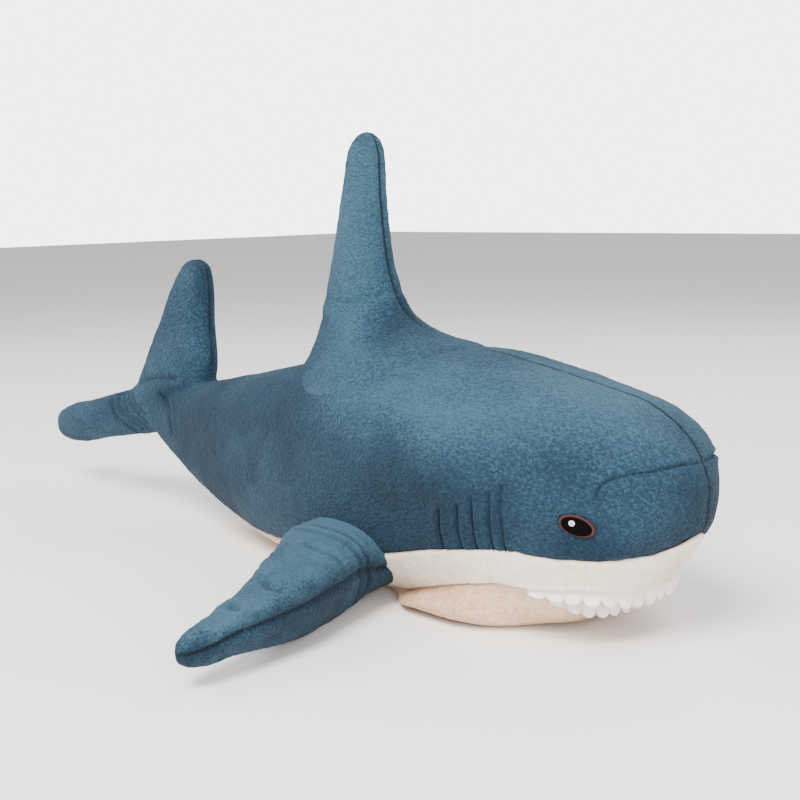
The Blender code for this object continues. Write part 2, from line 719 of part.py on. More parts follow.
def make_tail_fin():
    origin = (NOSE_X - TAIL_S, 0, 0.2)

    def to_world(flat, thick):
        return np.stack([NOSE_X - flat[..., 0] + 0 * thick, thick, flat[..., 1] + 0 * thick], axis=-1)

    for side, word in ((1, "left"), (-1, "right")):
        panel = pad_panel(f"tail_fin_panel_{word}", TAIL, side, to_world, origin)
        thicken(turned_out(panel, (0, side, 0)))
    pad_filling("tail_fin_filling", TAIL, to_world, origin)


def make_label():
    """A blank care label, sewn into the side seam behind the left pectoral fin."""
    s, turn = 0.66, float(seam_angle(0.66, 1))
    foot, out = body_point(s, turn, -0.0045), body_point(s, turn, -0.0325)
    along = np.array([0.009, 0, 0])
    corners = [foot - along, foot + along, out + along, out - along]
    sheet = add_mesh("care_label", corners, [(0, 1, 2, 3)], "label_tape")
    thicken(sheet, PATCH)


TOY, CUTTERS = clear_scene()
make_trunk()
make_mouth()
make_eyes()
make_stitches()
make_dorsal()
make_pectorals()
make_tail_fin()
make_label()
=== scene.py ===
import math

import bmesh
import bpy
import numpy as np
from mathutils import Matrix, Vector


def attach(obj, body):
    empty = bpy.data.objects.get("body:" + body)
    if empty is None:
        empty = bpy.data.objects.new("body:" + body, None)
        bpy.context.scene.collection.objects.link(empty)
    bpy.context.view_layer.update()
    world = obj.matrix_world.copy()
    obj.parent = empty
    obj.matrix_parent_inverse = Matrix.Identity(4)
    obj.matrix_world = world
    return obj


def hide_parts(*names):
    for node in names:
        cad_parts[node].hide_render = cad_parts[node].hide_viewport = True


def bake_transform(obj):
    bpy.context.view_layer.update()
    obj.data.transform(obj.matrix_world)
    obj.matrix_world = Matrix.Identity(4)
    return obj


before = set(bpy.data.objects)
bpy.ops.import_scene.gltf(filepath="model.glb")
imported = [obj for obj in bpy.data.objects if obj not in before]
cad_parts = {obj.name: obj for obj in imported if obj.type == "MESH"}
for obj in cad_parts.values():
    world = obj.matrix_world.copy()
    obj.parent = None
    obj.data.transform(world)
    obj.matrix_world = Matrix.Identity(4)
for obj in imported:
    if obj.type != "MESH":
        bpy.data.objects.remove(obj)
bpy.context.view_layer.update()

# distances are metres: s is the distance behind the nose, turn the angle from the back seam to the belly

shark = {
    "noseX": 0.69,
    "profile": np.array([  # s, height of the back, height of the underside, half width
        (0.000, 0.190, 0.190, 0.000), (0.004, 0.209, 0.171, 0.023), (0.015, 0.232, 0.147, 0.048),
        (0.040, 0.259, 0.101, 0.082), (0.080, 0.281, 0.047, 0.104), (0.140, 0.294, 0.004, 0.126),
        (0.220, 0.310, -0.008, 0.144), (0.320, 0.324, -0.008, 0.153), (0.440, 0.319, -0.008, 0.151),
        (0.560, 0.302, -0.006, 0.140), (0.700, 0.272, 0.008, 0.112), (0.820, 0.247, 0.035, 0.082),
        (0.920, 0.229, 0.068, 0.058), (1.000, 0.211, 0.108, 0.043), (1.060, 0.206, 0.146, 0.036),
    ]),
    "widest": 0.44,  # share of the height where the body is widest
    "upperPower": 2.5, "lowerPower": 2.33,  # roundness of the sections
    "seams": np.array([  # s, turn of the blue panel's lower edge, turn of the lip and of the fold behind it
        (0.000, 180, 180), (0.019, 180, 180), (0.026, 163, 180), (0.034, 147, 180), (0.044, 132, 180),
        (0.055, 121, 180), (0.068, 113, 180), (0.073, 111, 152), (0.085, 107, 134), (0.106, 101, 122),
        (0.137, 97, 116), (0.170, 95, 114), (0.205, 96, 114), (0.245, 99, 118), (0.290, 103, 125),
        (0.335, 108, 134), (0.380, 113, 144), (0.430, 118, 150), (0.465, 120, 137), (0.500, 122, 122),
        (0.570, 126, 126), (0.640, 131, 131), (0.700, 135, 135), (0.760, 139, 139), (0.820, 143, 143),
        (0.880, 148, 148), (0.940, 153, 153), (1.000, 158, 158), (1.060, 163, 163),
    ]),
    "floorGap": 0.0006,
    "snout": 0.0105, "snoutZ": 0.146, "snoutHalf": 0.040, "snoutHigh": 0.024,  # the filling under the tip
}


# a fixed value from -1 to 1 at each corner of a lattice, made by mixing whole numbers
def latticeValue(i, j, k, seed):
    n = (i * 374761393 + j * 668265263 + k * 982451653 + seed * 1274126177) & 0xFFFFFFFF
    n = ((n ^ (n >> 13)) * 1274126177) & 0xFFFFFFFF
    n = ((n ^ (n >> 15)) * 2246822519) & 0xFFFFFFFF
    return ((n ^ (n >> 16)) & 0xFFFF) / 32767.5 - 1


# smooth noise: the values at a cell's corners mixed by an S-curve along each axis
def ripple(points, size, seed, stretch=(1, 1, 1)):
    at = points / (size * np.array(stretch)) + 1000.0
    low = np.floor(at).astype(np.int64)
    f = at - low
    f = f * f * f * (f * (f * 6 - 15) + 10)
    total = 0.0
    for corner in range(8):
        step = np.array([corner & 1, corner >> 1 & 1, corner >> 2 & 1])
        weight = np.prod(np.where(step, f, 1 - f), axis=-1)
        total = total + weight * latticeValue(*np.moveaxis(low + step, -1, 0), seed)
    return total


# 0 below low, 1 above high, and an S-curve between
def easeStep(x, low, high):
    t = np.clip((x - low) / (high - low), 0, 1)
    return t * t * (3 - 2 * t)


# a Gaussian: e to the power of minus x over width, squared
def bell(x, width):
    return np.exp(-((x / width) ** 2))


# cubic pieces through the stations that share their slopes
def smoothThrough(stations, values, at):
    slopes = np.gradient(values, stations, axis=0)
    piece = np.clip(np.searchsorted(stations, at, side="right") - 1, 0, len(stations) - 2)
    width = stations[piece + 1] - stations[piece]
    t = (at - stations[piece]) / width
    if values.ndim > 1:
        t, width = t[..., None], width[..., None]
    return (
        values[piece] * (1 + 2 * t) * (1 - t) ** 2
        + slopes[piece] * width * t * (1 - t) ** 2
        + values[piece + 1] * t**2 * (3 - 2 * t)
        + slopes[piece + 1] * width * t**2 * (t - 1)
    )


# superellipse sections whose sizes follow the profile over the square root of s
def bodySection(s, turn):
    root = np.sqrt(np.maximum(s, 0))
    stations = np.sqrt(shark["profile"][:, 0])
    back, under, half = (smoothThrough(stations, shark["profile"][:, i], root) for i in (1, 2, 3))
    middle = under + shark["widest"] * (back - under)
    up, out = np.cos(turn), np.sin(turn)
    power = np.where(up >= 0, 2 / shark["upperPower"], 2 / shark["lowerPower"])
    reach = np.where(up >= 0, back - middle, middle - under)
    y = half * np.sign(out) * np.abs(out) ** power
    z = middle + reach * np.sign(up) * np.abs(up) ** power
    snout = shark["snout"] * bell(y, shark["snoutHalf"]) * bell(z - shark["snoutZ"], shark["snoutHigh"])
    return np.stack([shark["noseX"] - s + snout, y, z], axis=-1)


# cross product of small steps around and along the body
def bodyNormal(s, turn):
    near = np.maximum(s, 1e-4)
    step = 1e-3 * np.sqrt(near)
    along = bodySection(near + step, turn) - bodySection(np.maximum(near - step, 5e-5), turn)
    around = bodySection(near, turn + 0.02) - bodySection(near, turn - 0.02)
    normal = np.cross(around, along)
    normal /= np.maximum(np.linalg.norm(normal, axis=-1, keepdims=True), 1e-12)
    normal[np.asarray(s) <= 1e-5] = (1, 0, 0)
    return normal


# the section moved along its normal, and flat where it lies on the floor
def bodySkin(s, turn, lift=0.0):
    s, turn = np.broadcast_arrays(np.asarray(s, float), np.asarray(turn, float))
    point = bodySection(s, turn) + np.asarray(lift)[..., None] * bodyNormal(s, turn)
    point[..., 2] = np.maximum(point[..., 2], shark["floorGap"])
    return point


# the angle where the flank has this height, by halving an interval
def turnAtHeight(s, z):
    low, high = np.full(np.shape(z), math.radians(30)), np.full(np.shape(z), math.radians(165))
    for _ in range(26):
        middle = (low + high) / 2
        above = bodySection(s, middle)[..., 2] > z
        low, high = np.where(above, middle, low), np.where(above, high, middle)
    return (low + high) / 2


# a point on one side of the body at this height
def flank(s, z, side, lift=0.0):
    s, z = np.broadcast_arrays(np.asarray(s, float), np.asarray(z, float))
    return bodySkin(s, turnAtHeight(s, z), lift) * (1, side, 1)


# the turn of a seam at s, straight between its stations: column 1 is the blue edge, 2 the lip
def seamTurn(s, column):
    return np.radians(np.interp(s, shark["seams"][:, 0], shark["seams"][:, column]))


# distance along a line at each of its points: the sum of the steps so far
def lengthAlong(line):
    return np.concatenate([[0], np.cumsum(np.linalg.norm(np.diff(line, axis=0), axis=1))])


# points set at equal distances along a line
def evenly(line, count):
    lengths = lengthAlong(line)
    at = np.linspace(0, lengths[-1], count)
    return np.stack([np.interp(at, lengths, line[:, i]) for i in range(line.shape[1])], axis=1)


# distance from each point to the nearest piece of a polyline
def lineDistance(points, line):
    best = np.full(points.shape[:-1], 1e9)
    for a, b in zip(line[:-1], line[1:]):
        step = b - a
        t = np.clip(((points - a) @ step) / max(float(step @ step), 1e-12), 0, 1)
        best = np.minimum(best, np.linalg.norm(points - a - t[..., None] * step, axis=-1))
    return best


# a sewn line: a narrow bell that dips, less a wider and lower bell beside it that swells
def pinch(distance, depth, width, shoulder=0.25):
    return depth * bell(distance, width) - shoulder * depth * bell(distance - 2.6 * width, 1.5 * width)


# cross product of the grid's two directions at each point
def gridNormals(points, wrapped=False):
    if wrapped:
        around = np.roll(points, -1, axis=1) - np.roll(points, 1, axis=1)
    else:
        around = np.gradient(points, axis=1)
    normal = np.cross(around, np.gradient(points, axis=0))
    return normal / np.maximum(np.linalg.norm(normal, axis=-1, keepdims=True), 1e-12)


# how far each point is from both edges of its row, measured over the sheet
def crossDistance(points):
    steps = np.linalg.norm(np.diff(points, axis=1), axis=-1)
    along = np.concatenate([np.zeros((len(points), 1)), np.cumsum(steps, axis=1)], axis=1)
    return along, along[:, -1:] - along


# two mirrored sheets made one, which share their last row or column on the middle line
def acrossMiddle(left, right, axis):
    return np.concatenate([left, np.delete(np.flip(right, axis), 0, axis)], axis=axis)


# four corners for each face, between neighbouring rows and neighbouring columns of a grid
def gridFaces(rows, columns, wrapped):
    corner = np.arange(rows * columns).reshape(rows, columns)
    if wrapped:
        corner = np.concatenate([corner, corner[:, :1]], axis=1)
    faces = np.stack([corner[:-1, :-1], corner[:-1, 1:], corner[1:, 1:], corner[1:, :-1]], axis=-1)
    return faces.reshape(-1, 4)


# points that coincide are made one, and faces that collapse with them are dropped
def weld(work):
    bmesh.ops.remove_doubles(work, verts=work.verts, dist=2e-6)
    bmesh.ops.dissolve_degenerate(work, edges=work.edges, dist=1e-7)


# A grid of points made a mesh. A closed one faces out, and another faces away from the point outward.
def surface(name, points, cloth, wrapped=False, thickness=None, outward=None, crease=None, brushed=None):
    faces = gridFaces(*points.shape[:2], wrapped)
    points = points.reshape(-1, 3).copy()
    points[:, 2] = np.maximum(points[:, 2], shark["floorGap"])
    mesh = bpy.data.meshes.new(name)
    mesh.from_pydata(points.tolist(), [], faces.tolist())
    # crease values are painted shade in seams, folds and gaps; brushed values are pile strokes with painted
    # light and shade
    paint(mesh, "crease", crease)
    paint(mesh, "brushed", brushed)
    work = bmesh.new()
    work.from_mesh(mesh)
    weld(work)
    if outward is None:
        inwards = work.calc_volume(signed=True) < 0
    else:
        some = list(work.faces)[::7]  # every seventh face is enough to tell
        away = [np.array(face.calc_center_median()) - outward for face in some]
        inwards = sum(a @ np.array(face.normal) for a, face in zip(away, some)) < 0
    if inwards:
        bmesh.ops.reverse_faces(work, faces=work.faces)
    work.to_mesh(mesh)
    work.free()
    mesh.shade_smooth()
    mesh.materials.append(cloth)
    piece = bpy.data.objects.new(name, mesh)
    bpy.context.scene.collection.objects.link(piece)
    if thickness:
        wall = piece.modifiers.new("cloth", "SOLIDIFY")
        wall.thickness = thickness
        wall.offset = -1
    return piece


# one number for each point of the mesh, which its material reads
def paint(mesh, label, values):
    if values is not None:
        layer = mesh.attributes.new(label, "FLOAT", "POINT")
        layer.data.foreach_set("value", np.ascontiguousarray(values, np.float32).ravel())


# a round thread carried along a path, with its ends drawn to a point
def tube(path, radius, around=8):
    along = np.gradient(path, axis=0)
    along /= np.maximum(np.linalg.norm(along, axis=1, keepdims=True), 1e-12)
    side = np.cross(along, (0.31, 0.17, 0.93))
    side /= np.linalg.norm(side, axis=1, keepdims=True)
    other = np.cross(along, side)
    turn = np.linspace(0, 2 * math.pi, around, endpoint=False)
    radius = np.broadcast_to(radius, len(path)).copy()
    radius[[0, -1]] = 0.0
    ring = np.cos(turn)[None, :, None] * side[:, None] + np.sin(turn)[None, :, None] * other[:, None]
    return path[:, None] + radius[:, None, None] * ring


# a node group with these inputs (label, kind, value) and outputs (label, kind)
def group(name, inputs, outputs):
    made = bpy.data.node_groups.new(name, "ShaderNodeTree")
    for label, kind, value in inputs:
        socket = made.interface.new_socket(name=label, in_out="INPUT", socket_type=kind)
        if value is not None:
            socket.default_value = value
    for label, kind in outputs:
        made.interface.new_socket(name=label, in_out="OUTPUT", socket_type=kind)
    return made, made.nodes.new("NodeGroupInput"), made.nodes.new("NodeGroupOutput")


# a shader node with these settings, whose inputs are values or other nodes' sockets
def node(tree, kind, settings=None, inputs=None):
    made = tree.nodes.new(kind)
    for key, value in (settings or {}).items():
        setattr(made, key, value)
    for key, value in (inputs or {}).items():
        if isinstance(value, bpy.types.NodeSocket):
            tree.links.new(value, made.inputs[key])
        else:
            made.inputs[key].default_value = value
    return made


def maths(tree, operation, a, b=0.0, c=0.0, clamp=False):
    settings = {"operation": operation, "use_clamp": clamp}
    return node(tree, "ShaderNodeMath", settings, {0: a, 1: b, 2: c}).outputs[0]


# a share of one value plus a share of another
def blended(tree, a, shareA, b, shareB):
    return maths(tree, "MULTIPLY_ADD", a, shareA, maths(tree, "MULTIPLY", b, shareB))


# a number painted on the mesh's points
def painted(tree, label):
    return node(tree, "ShaderNodeAttribute", {"attribute_name": label}).outputs["Fac"]


def noise(tree, vector, scale, detail=3.0, roughness=0.55, distortion=0.0):
    return node(tree, "ShaderNodeTexNoise", None, {
        "Vector": vector, "Scale": scale, "Detail": detail,
        "Roughness": roughness, "Distortion": distortion,
    }).outputs[0]


def spread(tree, value, low, high, newLow=0.0, newHigh=1.0):
    return node(tree, "ShaderNodeMapRange", {"interpolation_type": "SMOOTHSTEP"}, {
        0: value, 1: low, 2: high, 3: newLow, 4: newHigh,
    }).outputs[0]


def mixColour(tree, factor, a, b, blend="MIX"):
    made = node(tree, "ShaderNodeMix", {"data_type": "RGBA", "blend_type": blend}, {0: factor, 6: a, 7: b})
    return made.outputs[2]


# Brushed pile: broad patches where it leans one way, tufts a few millimetres long, and single fibres.
def makePileGroup():
    kinds = [("Vector", "NodeSocketVector", None), ("Patch Size", "NodeSocketFloat", 9.0),
             ("Tuft Size", "NodeSocketFloat", 70.0), ("Fibre Size", "NodeSocketFloat", 330.0),
             ("Depth", "NodeSocketFloat", 1.0)]
    results = [(label, "NodeSocketFloat") for label in ("Lean", "Tuft", "Fibre", "Height")]
    tree, into, out = group("brushedPile", kinds, results)
    vector = into.outputs["Vector"]
    bent = node(tree, "ShaderNodeTexNoise", None, {"Vector": vector, "Scale": 14.0, "Detail": 2.0})
    scaled = {0: bent.outputs["Color"], 3: 0.03}
    pushed = node(tree, "ShaderNodeVectorMath", {"operation": "SCALE"}, scaled).outputs[0]
    swirled = node(tree, "ShaderNodeVectorMath", {"operation": "ADD"}, {0: vector, 1: pushed}).outputs[0]
    lean = spread(tree, noise(tree, swirled, into.outputs["Patch Size"], 4.0, 0.55), 0.34, 0.66)
    tuft = spread(tree, noise(tree, vector, into.outputs["Tuft Size"], 2.5, 0.6), 0.33, 0.67)
    fibre = noise(tree, vector, into.outputs["Fibre Size"], 2.0, 0.6)
    height = maths(tree, "MULTIPLY", blended(tree, tuft, 0.6, fibre, 0.8), into.outputs["Depth"])
    for label, socket in (("Lean", lean), ("Tuft", tuft), ("Fibre", fibre), ("Height", height)):
        tree.links.new(socket, out.inputs[label])
    return tree


# Satin stitch: fine parallel threads with a little unevenness.
def makeStitchGroup():
    kinds = [("Vector", "NodeSocketVector", None), ("Count", "NodeSocketFloat", 900.0)]
    results = [("Thread", "NodeSocketFloat"), ("Height", "NodeSocketFloat")]
    tree, into, out = group("satinStitch", kinds, results)
    bands = {"wave_type": "BANDS", "bands_direction": "Z", "wave_profile": "SIN"}
    wave = node(tree, "ShaderNodeTexWave", bands, {
        "Vector": into.outputs["Vector"], "Scale": into.outputs["Count"],
        "Distortion": 1.2, "Detail": 2.0, "Detail Scale": 1.5,
    })
    uneven = noise(tree, into.outputs["Vector"], 500.0, 2.0)
    thread = blended(tree, wave.outputs[1], 0.75, uneven, 0.25)
    tree.links.new(thread, out.inputs["Thread"])
    tree.links.new(wave.outputs[1], out.inputs["Height"])
    return tree


def placeGroup(tree, made, inputs):
    return node(tree, "ShaderNodeGroup", {"node_tree": made}, inputs).outputs


# an empty cloth: its tree, its shader and the place on the object
def newMaterial(name):
    made = bpy.data.materials.new(name)
    made.use_nodes = True
    tree = made.node_tree
    shader = tree.nodes["Principled BSDF"]
    place = node(tree, "ShaderNodeTexCoord").outputs["Object"]
    return made, tree, shader, place


def bumped(tree, shader, height, strength, distance):
    inputs = {"Height": height, "Strength": strength, "Distance": distance}
    tree.links.new(node(tree, "ShaderNodeBump", None, inputs).outputs[0], shader.inputs["Normal"])


# Short pile: a dark root and a light tip colour, mixed by how the pile leans and by its tufts and fibres.
def plush(name, look):
    made, tree, shader, place = newMaterial(name)
    mapping = {"Vector": place, "Scale": look["brush"], "Rotation": look["tilt"]}
    brushed = node(tree, "ShaderNodeMapping", None, mapping).outputs[0]
    pile = placeGroup(tree, pileGroup, {
        "Vector": brushed, "Patch Size": look["patch"], "Tuft Size": look["tuft"],
        "Fibre Size": look["fibre"], "Depth": 1.0,
    })
    mixed = blended(tree, pile["Lean"], look["leanShare"], pile["Tuft"], look["tuftShare"])
    fibres = spread(tree, pile["Fibre"], 0.34, 0.68)
    mixed = maths(tree, "MULTIPLY_ADD", fibres, look["fibreShare"], mixed)
    # painted light and shade: the brushed values painted on the mesh add pile strokes together with lighter
    # lit tops and darker shaded parts
    mixed = maths(tree, "ADD", mixed, painted(tree, "brushed"), clamp=True)
    ramp = node(tree, "ShaderNodeValToRGB", None, {0: mixed})
    ramp.color_ramp.elements[0].color = (*look["root"], 1)
    ramp.color_ramp.elements[1].color = (*look["tip"], 1)
    middle = ramp.color_ramp.elements.new(0.5)
    middle.color = (*look["middle"], 1)
    # painted shade: the crease colour darkens the pile where crease values are painted, in seams, gill tucks,
    # the dart, folds and round the eyes
    colour = mixColour(tree, painted(tree, "crease"), ramp.outputs[0], (*look["crease"], 1))
    tree.links.new(colour, shader.inputs["Base Color"])
    rough = spread(tree, pile["Lean"], 0, 1, look["rough"] + 0.06, look["rough"] - 0.06)
    tree.links.new(rough, shader.inputs["Roughness"])
    shader.inputs["Specular IOR Level"].default_value = 0.25
    shader.inputs["Sheen Weight"].default_value = look["sheen"]
    shader.inputs["Sheen Roughness"].default_value = 0.45
    shader.inputs["Sheen Tint"].default_value = (*look["sheenTint"], 1)
    bumped(tree, shader, pile["Height"], look["bump"], look["bumpDepth"])
    return made


pileGroup, stitchGroup = makePileGroup(), makeStitchGroup()

bluePlush = plush("blue_plush", {
    "root": (0.0020, 0.0095, 0.0220), "middle": (0.0068, 0.0310, 0.0590), "tip": (0.034, 0.094, 0.142),
    # the crease colour is the painted shade in seams and folds
    "crease": (0.001, 0.004, 0.008),
    "brush": (0.75, 1.1, 1.1), "tilt": (0, 0.5, 0), "patch": 6.0, "tuft": 260.0, "fibre": 620.0,
    "leanShare": 0.38, "tuftShare": 0.31, "fibreShare": 0.31, "rough": 0.85,
    "sheen": 0.07, "sheenTint": (0.45, 0.70, 0.88), "bump": 1.0, "bumpDepth": 0.0030,
})
creamLook = {
    "root": (0.58, 0.45, 0.35), "middle": (0.78, 0.65, 0.54), "tip": (0.89, 0.81, 0.72),
    # the crease colour is the painted shade in seams and folds
    "crease": (0.36, 0.24, 0.17),
    "brush": (0.8, 1.1, 1.1), "tilt": (0, 0.2, 0), "patch": 6.0, "tuft": 160.0, "fibre": 520.0,
    "leanShare": 0.45, "tuftShare": 0.28, "fibreShare": 0.27, "rough": 0.9,
    "sheen": 0.15, "sheenTint": (1.0, 0.93, 0.86), "bump": 0.5, "bumpDepth": 0.0014,
}
creamPlush = plush("cream_plush", creamLook)
# painted shade: a darker, warmer copy of the cream cloth for the belly and jaw underneath
shadedCreamPlush = plush("cream_plush_shaded_under", creamLook | {
    "root": (0.42, 0.24, 0.135), "middle": (0.66, 0.44, 0.285), "tip": (0.82, 0.65, 0.48),
})


# Pressed felt: tangled short fibres, a little darker where they part.
def felt(name, look):
    made, tree, shader, place = newMaterial(name)
    tangle = noise(tree, place, look["fibre"], 5.0, 0.7, 1.5)
    cloud = noise(tree, place, 40.0, 2.0)
    mixed = blended(tree, spread(tree, tangle, 0.3, 0.7), 0.6, cloud, 0.4)
    colour = mixColour(tree, mixed, (*look["dark"], 1), (*look["light"], 1))
    # painted shade: the edge colour darkens the felt where crease values are painted, between the teeth, at
    # their roots and along their lower edges
    shaded = mixColour(tree, painted(tree, "crease"), colour, (*look["edge"], 1))
    tree.links.new(shaded, shader.inputs["Base Color"])
    shader.inputs["Roughness"].default_value = 0.95
    shader.inputs["Specular IOR Level"].default_value = 0.2
    shader.inputs["Sheen Weight"].default_value = 0.25
    bumped(tree, shader, tangle, 0.5, 0.0007)
    return made


whiteFelt = felt("white_felt", {
    # edge is the painted shade colour
    "fibre": 600.0, "dark": (0.88, 0.85, 0.82), "light": (0.95, 0.93, 0.90), "edge": (0.46, 0.36, 0.29),
})
pinkFelt = felt("pink_lining", {
    # edge is the painted shade colour
    "fibre": 500.0, "dark": (0.62, 0.30, 0.26), "light": (0.84, 0.52, 0.46), "edge": (0.40, 0.18, 0.15),
})


# Embroidery thread: parallel strands with a soft gloss.
def satin(name, look):
    made, tree, shader, place = newMaterial(name)
    turned = node(tree, "ShaderNodeMapping", None, {"Vector": place, "Rotation": look["turned"]}).outputs[0]
    strands = placeGroup(tree, stitchGroup, {"Vector": turned, "Count": look["count"]})
    colour = mixColour(tree, strands["Thread"], (*look["dark"], 1), (*look["light"], 1))
    tree.links.new(colour, shader.inputs["Base Color"])
    shader.inputs["Roughness"].default_value = look["rough"]
    shader.inputs["Specular IOR Level"].default_value = 0.06
    bumped(tree, shader, strands["Height"], 0.6, 0.0003)
    return made


brownSatin = satin("brown_satin", {
    "count": 420.0, "turned": (0, 0.9, 0), "rough": 0.6,
    "dark": (0.035, 0.012, 0.011), "light": (0.125, 0.046, 0.040),
})
blackSatin = satin("black_satin", {
    "count": 420.0, "turned": (0, 0.3, 0), "rough": 0.8,
    "dark": (0.0003, 0.0002, 0.0002), "light": (0.0014, 0.0010, 0.0010),
})
whiteSatin = satin("white_satin", {
    "count": 500.0, "turned": (0, 0.3, 0), "rough": 0.4,
    "dark": (0.62, 0.62, 0.64), "light": (0.95, 0.95, 0.95),
})
greySatin = satin("grey_satin", {
    "count": 500.0, "turned": (0, 0.3, 0), "rough": 0.4,
    "dark": (0.25, 0.26, 0.28), "light": (0.5, 0.5, 0.52),
})
navyThread = satin("navy_thread", {
    "count": 700.0, "turned": (0.6, 0.8, 0), "rough": 0.7,
    "dark": (0.002, 0.007, 0.014), "light": (0.008, 0.022, 0.040),
})


# Woven tape: two crossed sets of ribs.
def labelTape():
    made, tree, shader, place = newMaterial("label_tape")
    ribs = {"Vector": place, "Scale": 420.0, "Distortion": 0.4}
    sets = [node(tree, "ShaderNodeTexWave", {"bands_direction": axis}, ribs).outputs[1] for axis in "XZ"]
    weave = maths(tree, "MULTIPLY", *sets)
    colour = mixColour(tree, weave, (0.70, 0.69, 0.66, 1), (0.90, 0.90, 0.88, 1))
    tree.links.new(colour, shader.inputs["Base Color"])
    shader.inputs["Roughness"].default_value = 0.7
    bumped(tree, shader, weave, 0.4, 0.0003)
    return made


tape = labelTape()
print("materials made")


skins = {
    "thickness": 0.003,
    "seamDepth": 0.0024, "seamWidth": 0.0036,  # the dip that both panels make at a seam
    "rolled": 0.0020, "turnedIn": 0.0012,  # how far from its edge a panel starts to turn in
    "pucker": 0.0007, "puckerLength": 0.014,  # small folds that run out from a seam
    "soft": 0.0021, "lumps": 0.0009, "tufts": 0.00050,  # dents, smaller lumps, tufts of the pile
    "spread": 0.046,  # how far the belly settles sideways
    "tuckDeep": 0.0030, "tuckLong": 0.004,  # how the ends of the panels dive under their neighbours
    "rearEnd": 0.935, "muzzleEnd": 0.498, "jawEnd": 0.262, "bellyEnd": 1.0,
    "middle": 0.14,  # the height of the bend's axis
    "bendFrom": 0.035, "bendTo": -0.145,  # where the trunk's skin goes over to the rear half
}
eye = {"s": 0.100, "z": 0.152, "tilt": math.radians(-17), "long": 0.0205, "high": 0.0118}
gills = {  # s and height of the top and the foot of the five sewn tucks, from the front one back
    "top": ((0.189, 0.189), (0.204, 0.178), (0.228, 0.169), (0.248, 0.159), (0.275, 0.149)),
    "foot": ((0.183, 0.110), (0.199, 0.110), (0.221, 0.108), (0.242, 0.105), (0.270, 0.101)),
    "bow": 0.0022, "depth": 0.0026, "width": 0.0024,
}
dart = {  # a short seam from the nose seam back over the eye, with a hooked end
    "line": (  # s, turn
        (0.008, 2), (0.014, 43), (0.022, 56), (0.032, 63), (0.044, 66), (0.058, 68), (0.073, 71),
        (0.081, 75), (0.080, 79),
    ),
    "depth": 0.0030, "width": 0.0022,
    "end": (0.088, 81.0), "gathered": 0.024, "gatherDepth": 0.0020,  # small folds around its hooked end
}
strokesAndLight = {  # how the blue pile was brushed, with painted light, lighter where it is positive
    "top": 0.26, "topFrom": 0.19, "topTo": 0.30,  # painted light: the top is lighter and the flank darker, as the light falls from above
    "band": 0.22, "bandS": 0.30, "bandLong": 0.10,  # a broad lighter stroke behind the head
    "dark": 0.20, "darkLong": 0.13, "darkZ": 0.15, "darkHigh": 0.06,  # and a darker one under it
    "clouds": 0.16, "cloudSize": 0.14,
}


def gillLine(index, side, count=13, lift=0.0):
    share = np.linspace(0, 1, count)
    (topS, topZ), (footS, footZ) = gills["top"][index], gills["foot"][index]
    s = topS + (footS - topS) * share + gills["bow"] * np.sin(math.pi * share)
    return flank(s, topZ + (footZ - topZ) * share, side, lift)


def dartLine(side, count=24):
    places = np.array(dart["line"])
    line = bodySkin(places[:, 0], np.radians(places[:, 1]))
    return evenly(line, count) * (1, side, 1)


# 1 on the eye's outline, less inside it
def eyeShare(points):
    a = (shark["noseX"] - points[..., 0]) - eye["s"]
    b = points[..., 2] - eye["z"]
    along = a * math.cos(eye["tilt"]) - b * math.sin(eye["tilt"])
    across = a * math.sin(eye["tilt"]) + b * math.cos(eye["tilt"])
    return np.hypot(along / eye["long"], across / eye["high"])


# Under its own weight the belly spreads sideways just above the floor, between the mouth and the side fins.
def settled(points, toEdge):
    s, z = shark["noseX"] - points[..., 0], points[..., 2]
    where = easeStep(s, 0.14, 0.29) * (1 - easeStep(s, 0.35, 0.45)) * easeStep(toEdge, 0, 0.024)
    low = bell(np.maximum(z - 0.010, 0), 0.030) * np.clip(points[..., 1] / 0.06, -1, 1)
    points[..., 1] += skins["spread"] * where * low
    return points


# dents of stuffed cloth: three sizes of smooth noise
def softness(points, amount=1.0):
    return amount * (
        skins["soft"] * ripple(points, 0.115, 3)
        + skins["lumps"] * ripple(points, 0.042, 5)
        + skins["tufts"] * (ripple(points, 0.011, 7, (1.6, 1, 1)) + 0.7 * ripple(points, 0.0055, 11))
    )


# a panel's edge: the bell-shaped dip, the turned-in rim, and small puckers that fade with distance
def edgeDip(distance, points, seed):
    dip = skins["seamDepth"] * bell(distance, skins["seamWidth"])
    rim = skins["turnedIn"] * (1 - easeStep(distance, 0, skins["rolled"]))
    folds = skins["pucker"] * ripple(points, 0.013, seed) * np.exp(-distance / skins["puckerLength"])
    return dip + rim + folds


# rows close together at the nose, where their spacing grows with the square root of s, and then even ones
def rowPlaces(first, last, fine, coarse, change=0.30):
    places, at = [first], first
    while at < last:
        at += min(fine, 0.0006 + 0.22 * math.sqrt(max(at, 0)) * 0.02) if at < change else coarse
        places.append(min(at, last))
    return np.array(places)


# shares from 0 to 1 that lie closer together at both ends
def crowded(count):
    t = np.linspace(0, 1, count)
    return 0.55 * t + 0.45 * (0.5 - 0.5 * np.cos(math.pi * t))


# the seam between the blue and the white, on the left side
def whiteSeamLine():
    nose, flankPart = np.linspace(0.0191, 0.075, 50), np.linspace(0.080, skins["rearEnd"] + 0.01, 80)
    s = np.concatenate([nose, flankPart])
    return bodySkin(s, seamTurn(s, 1))
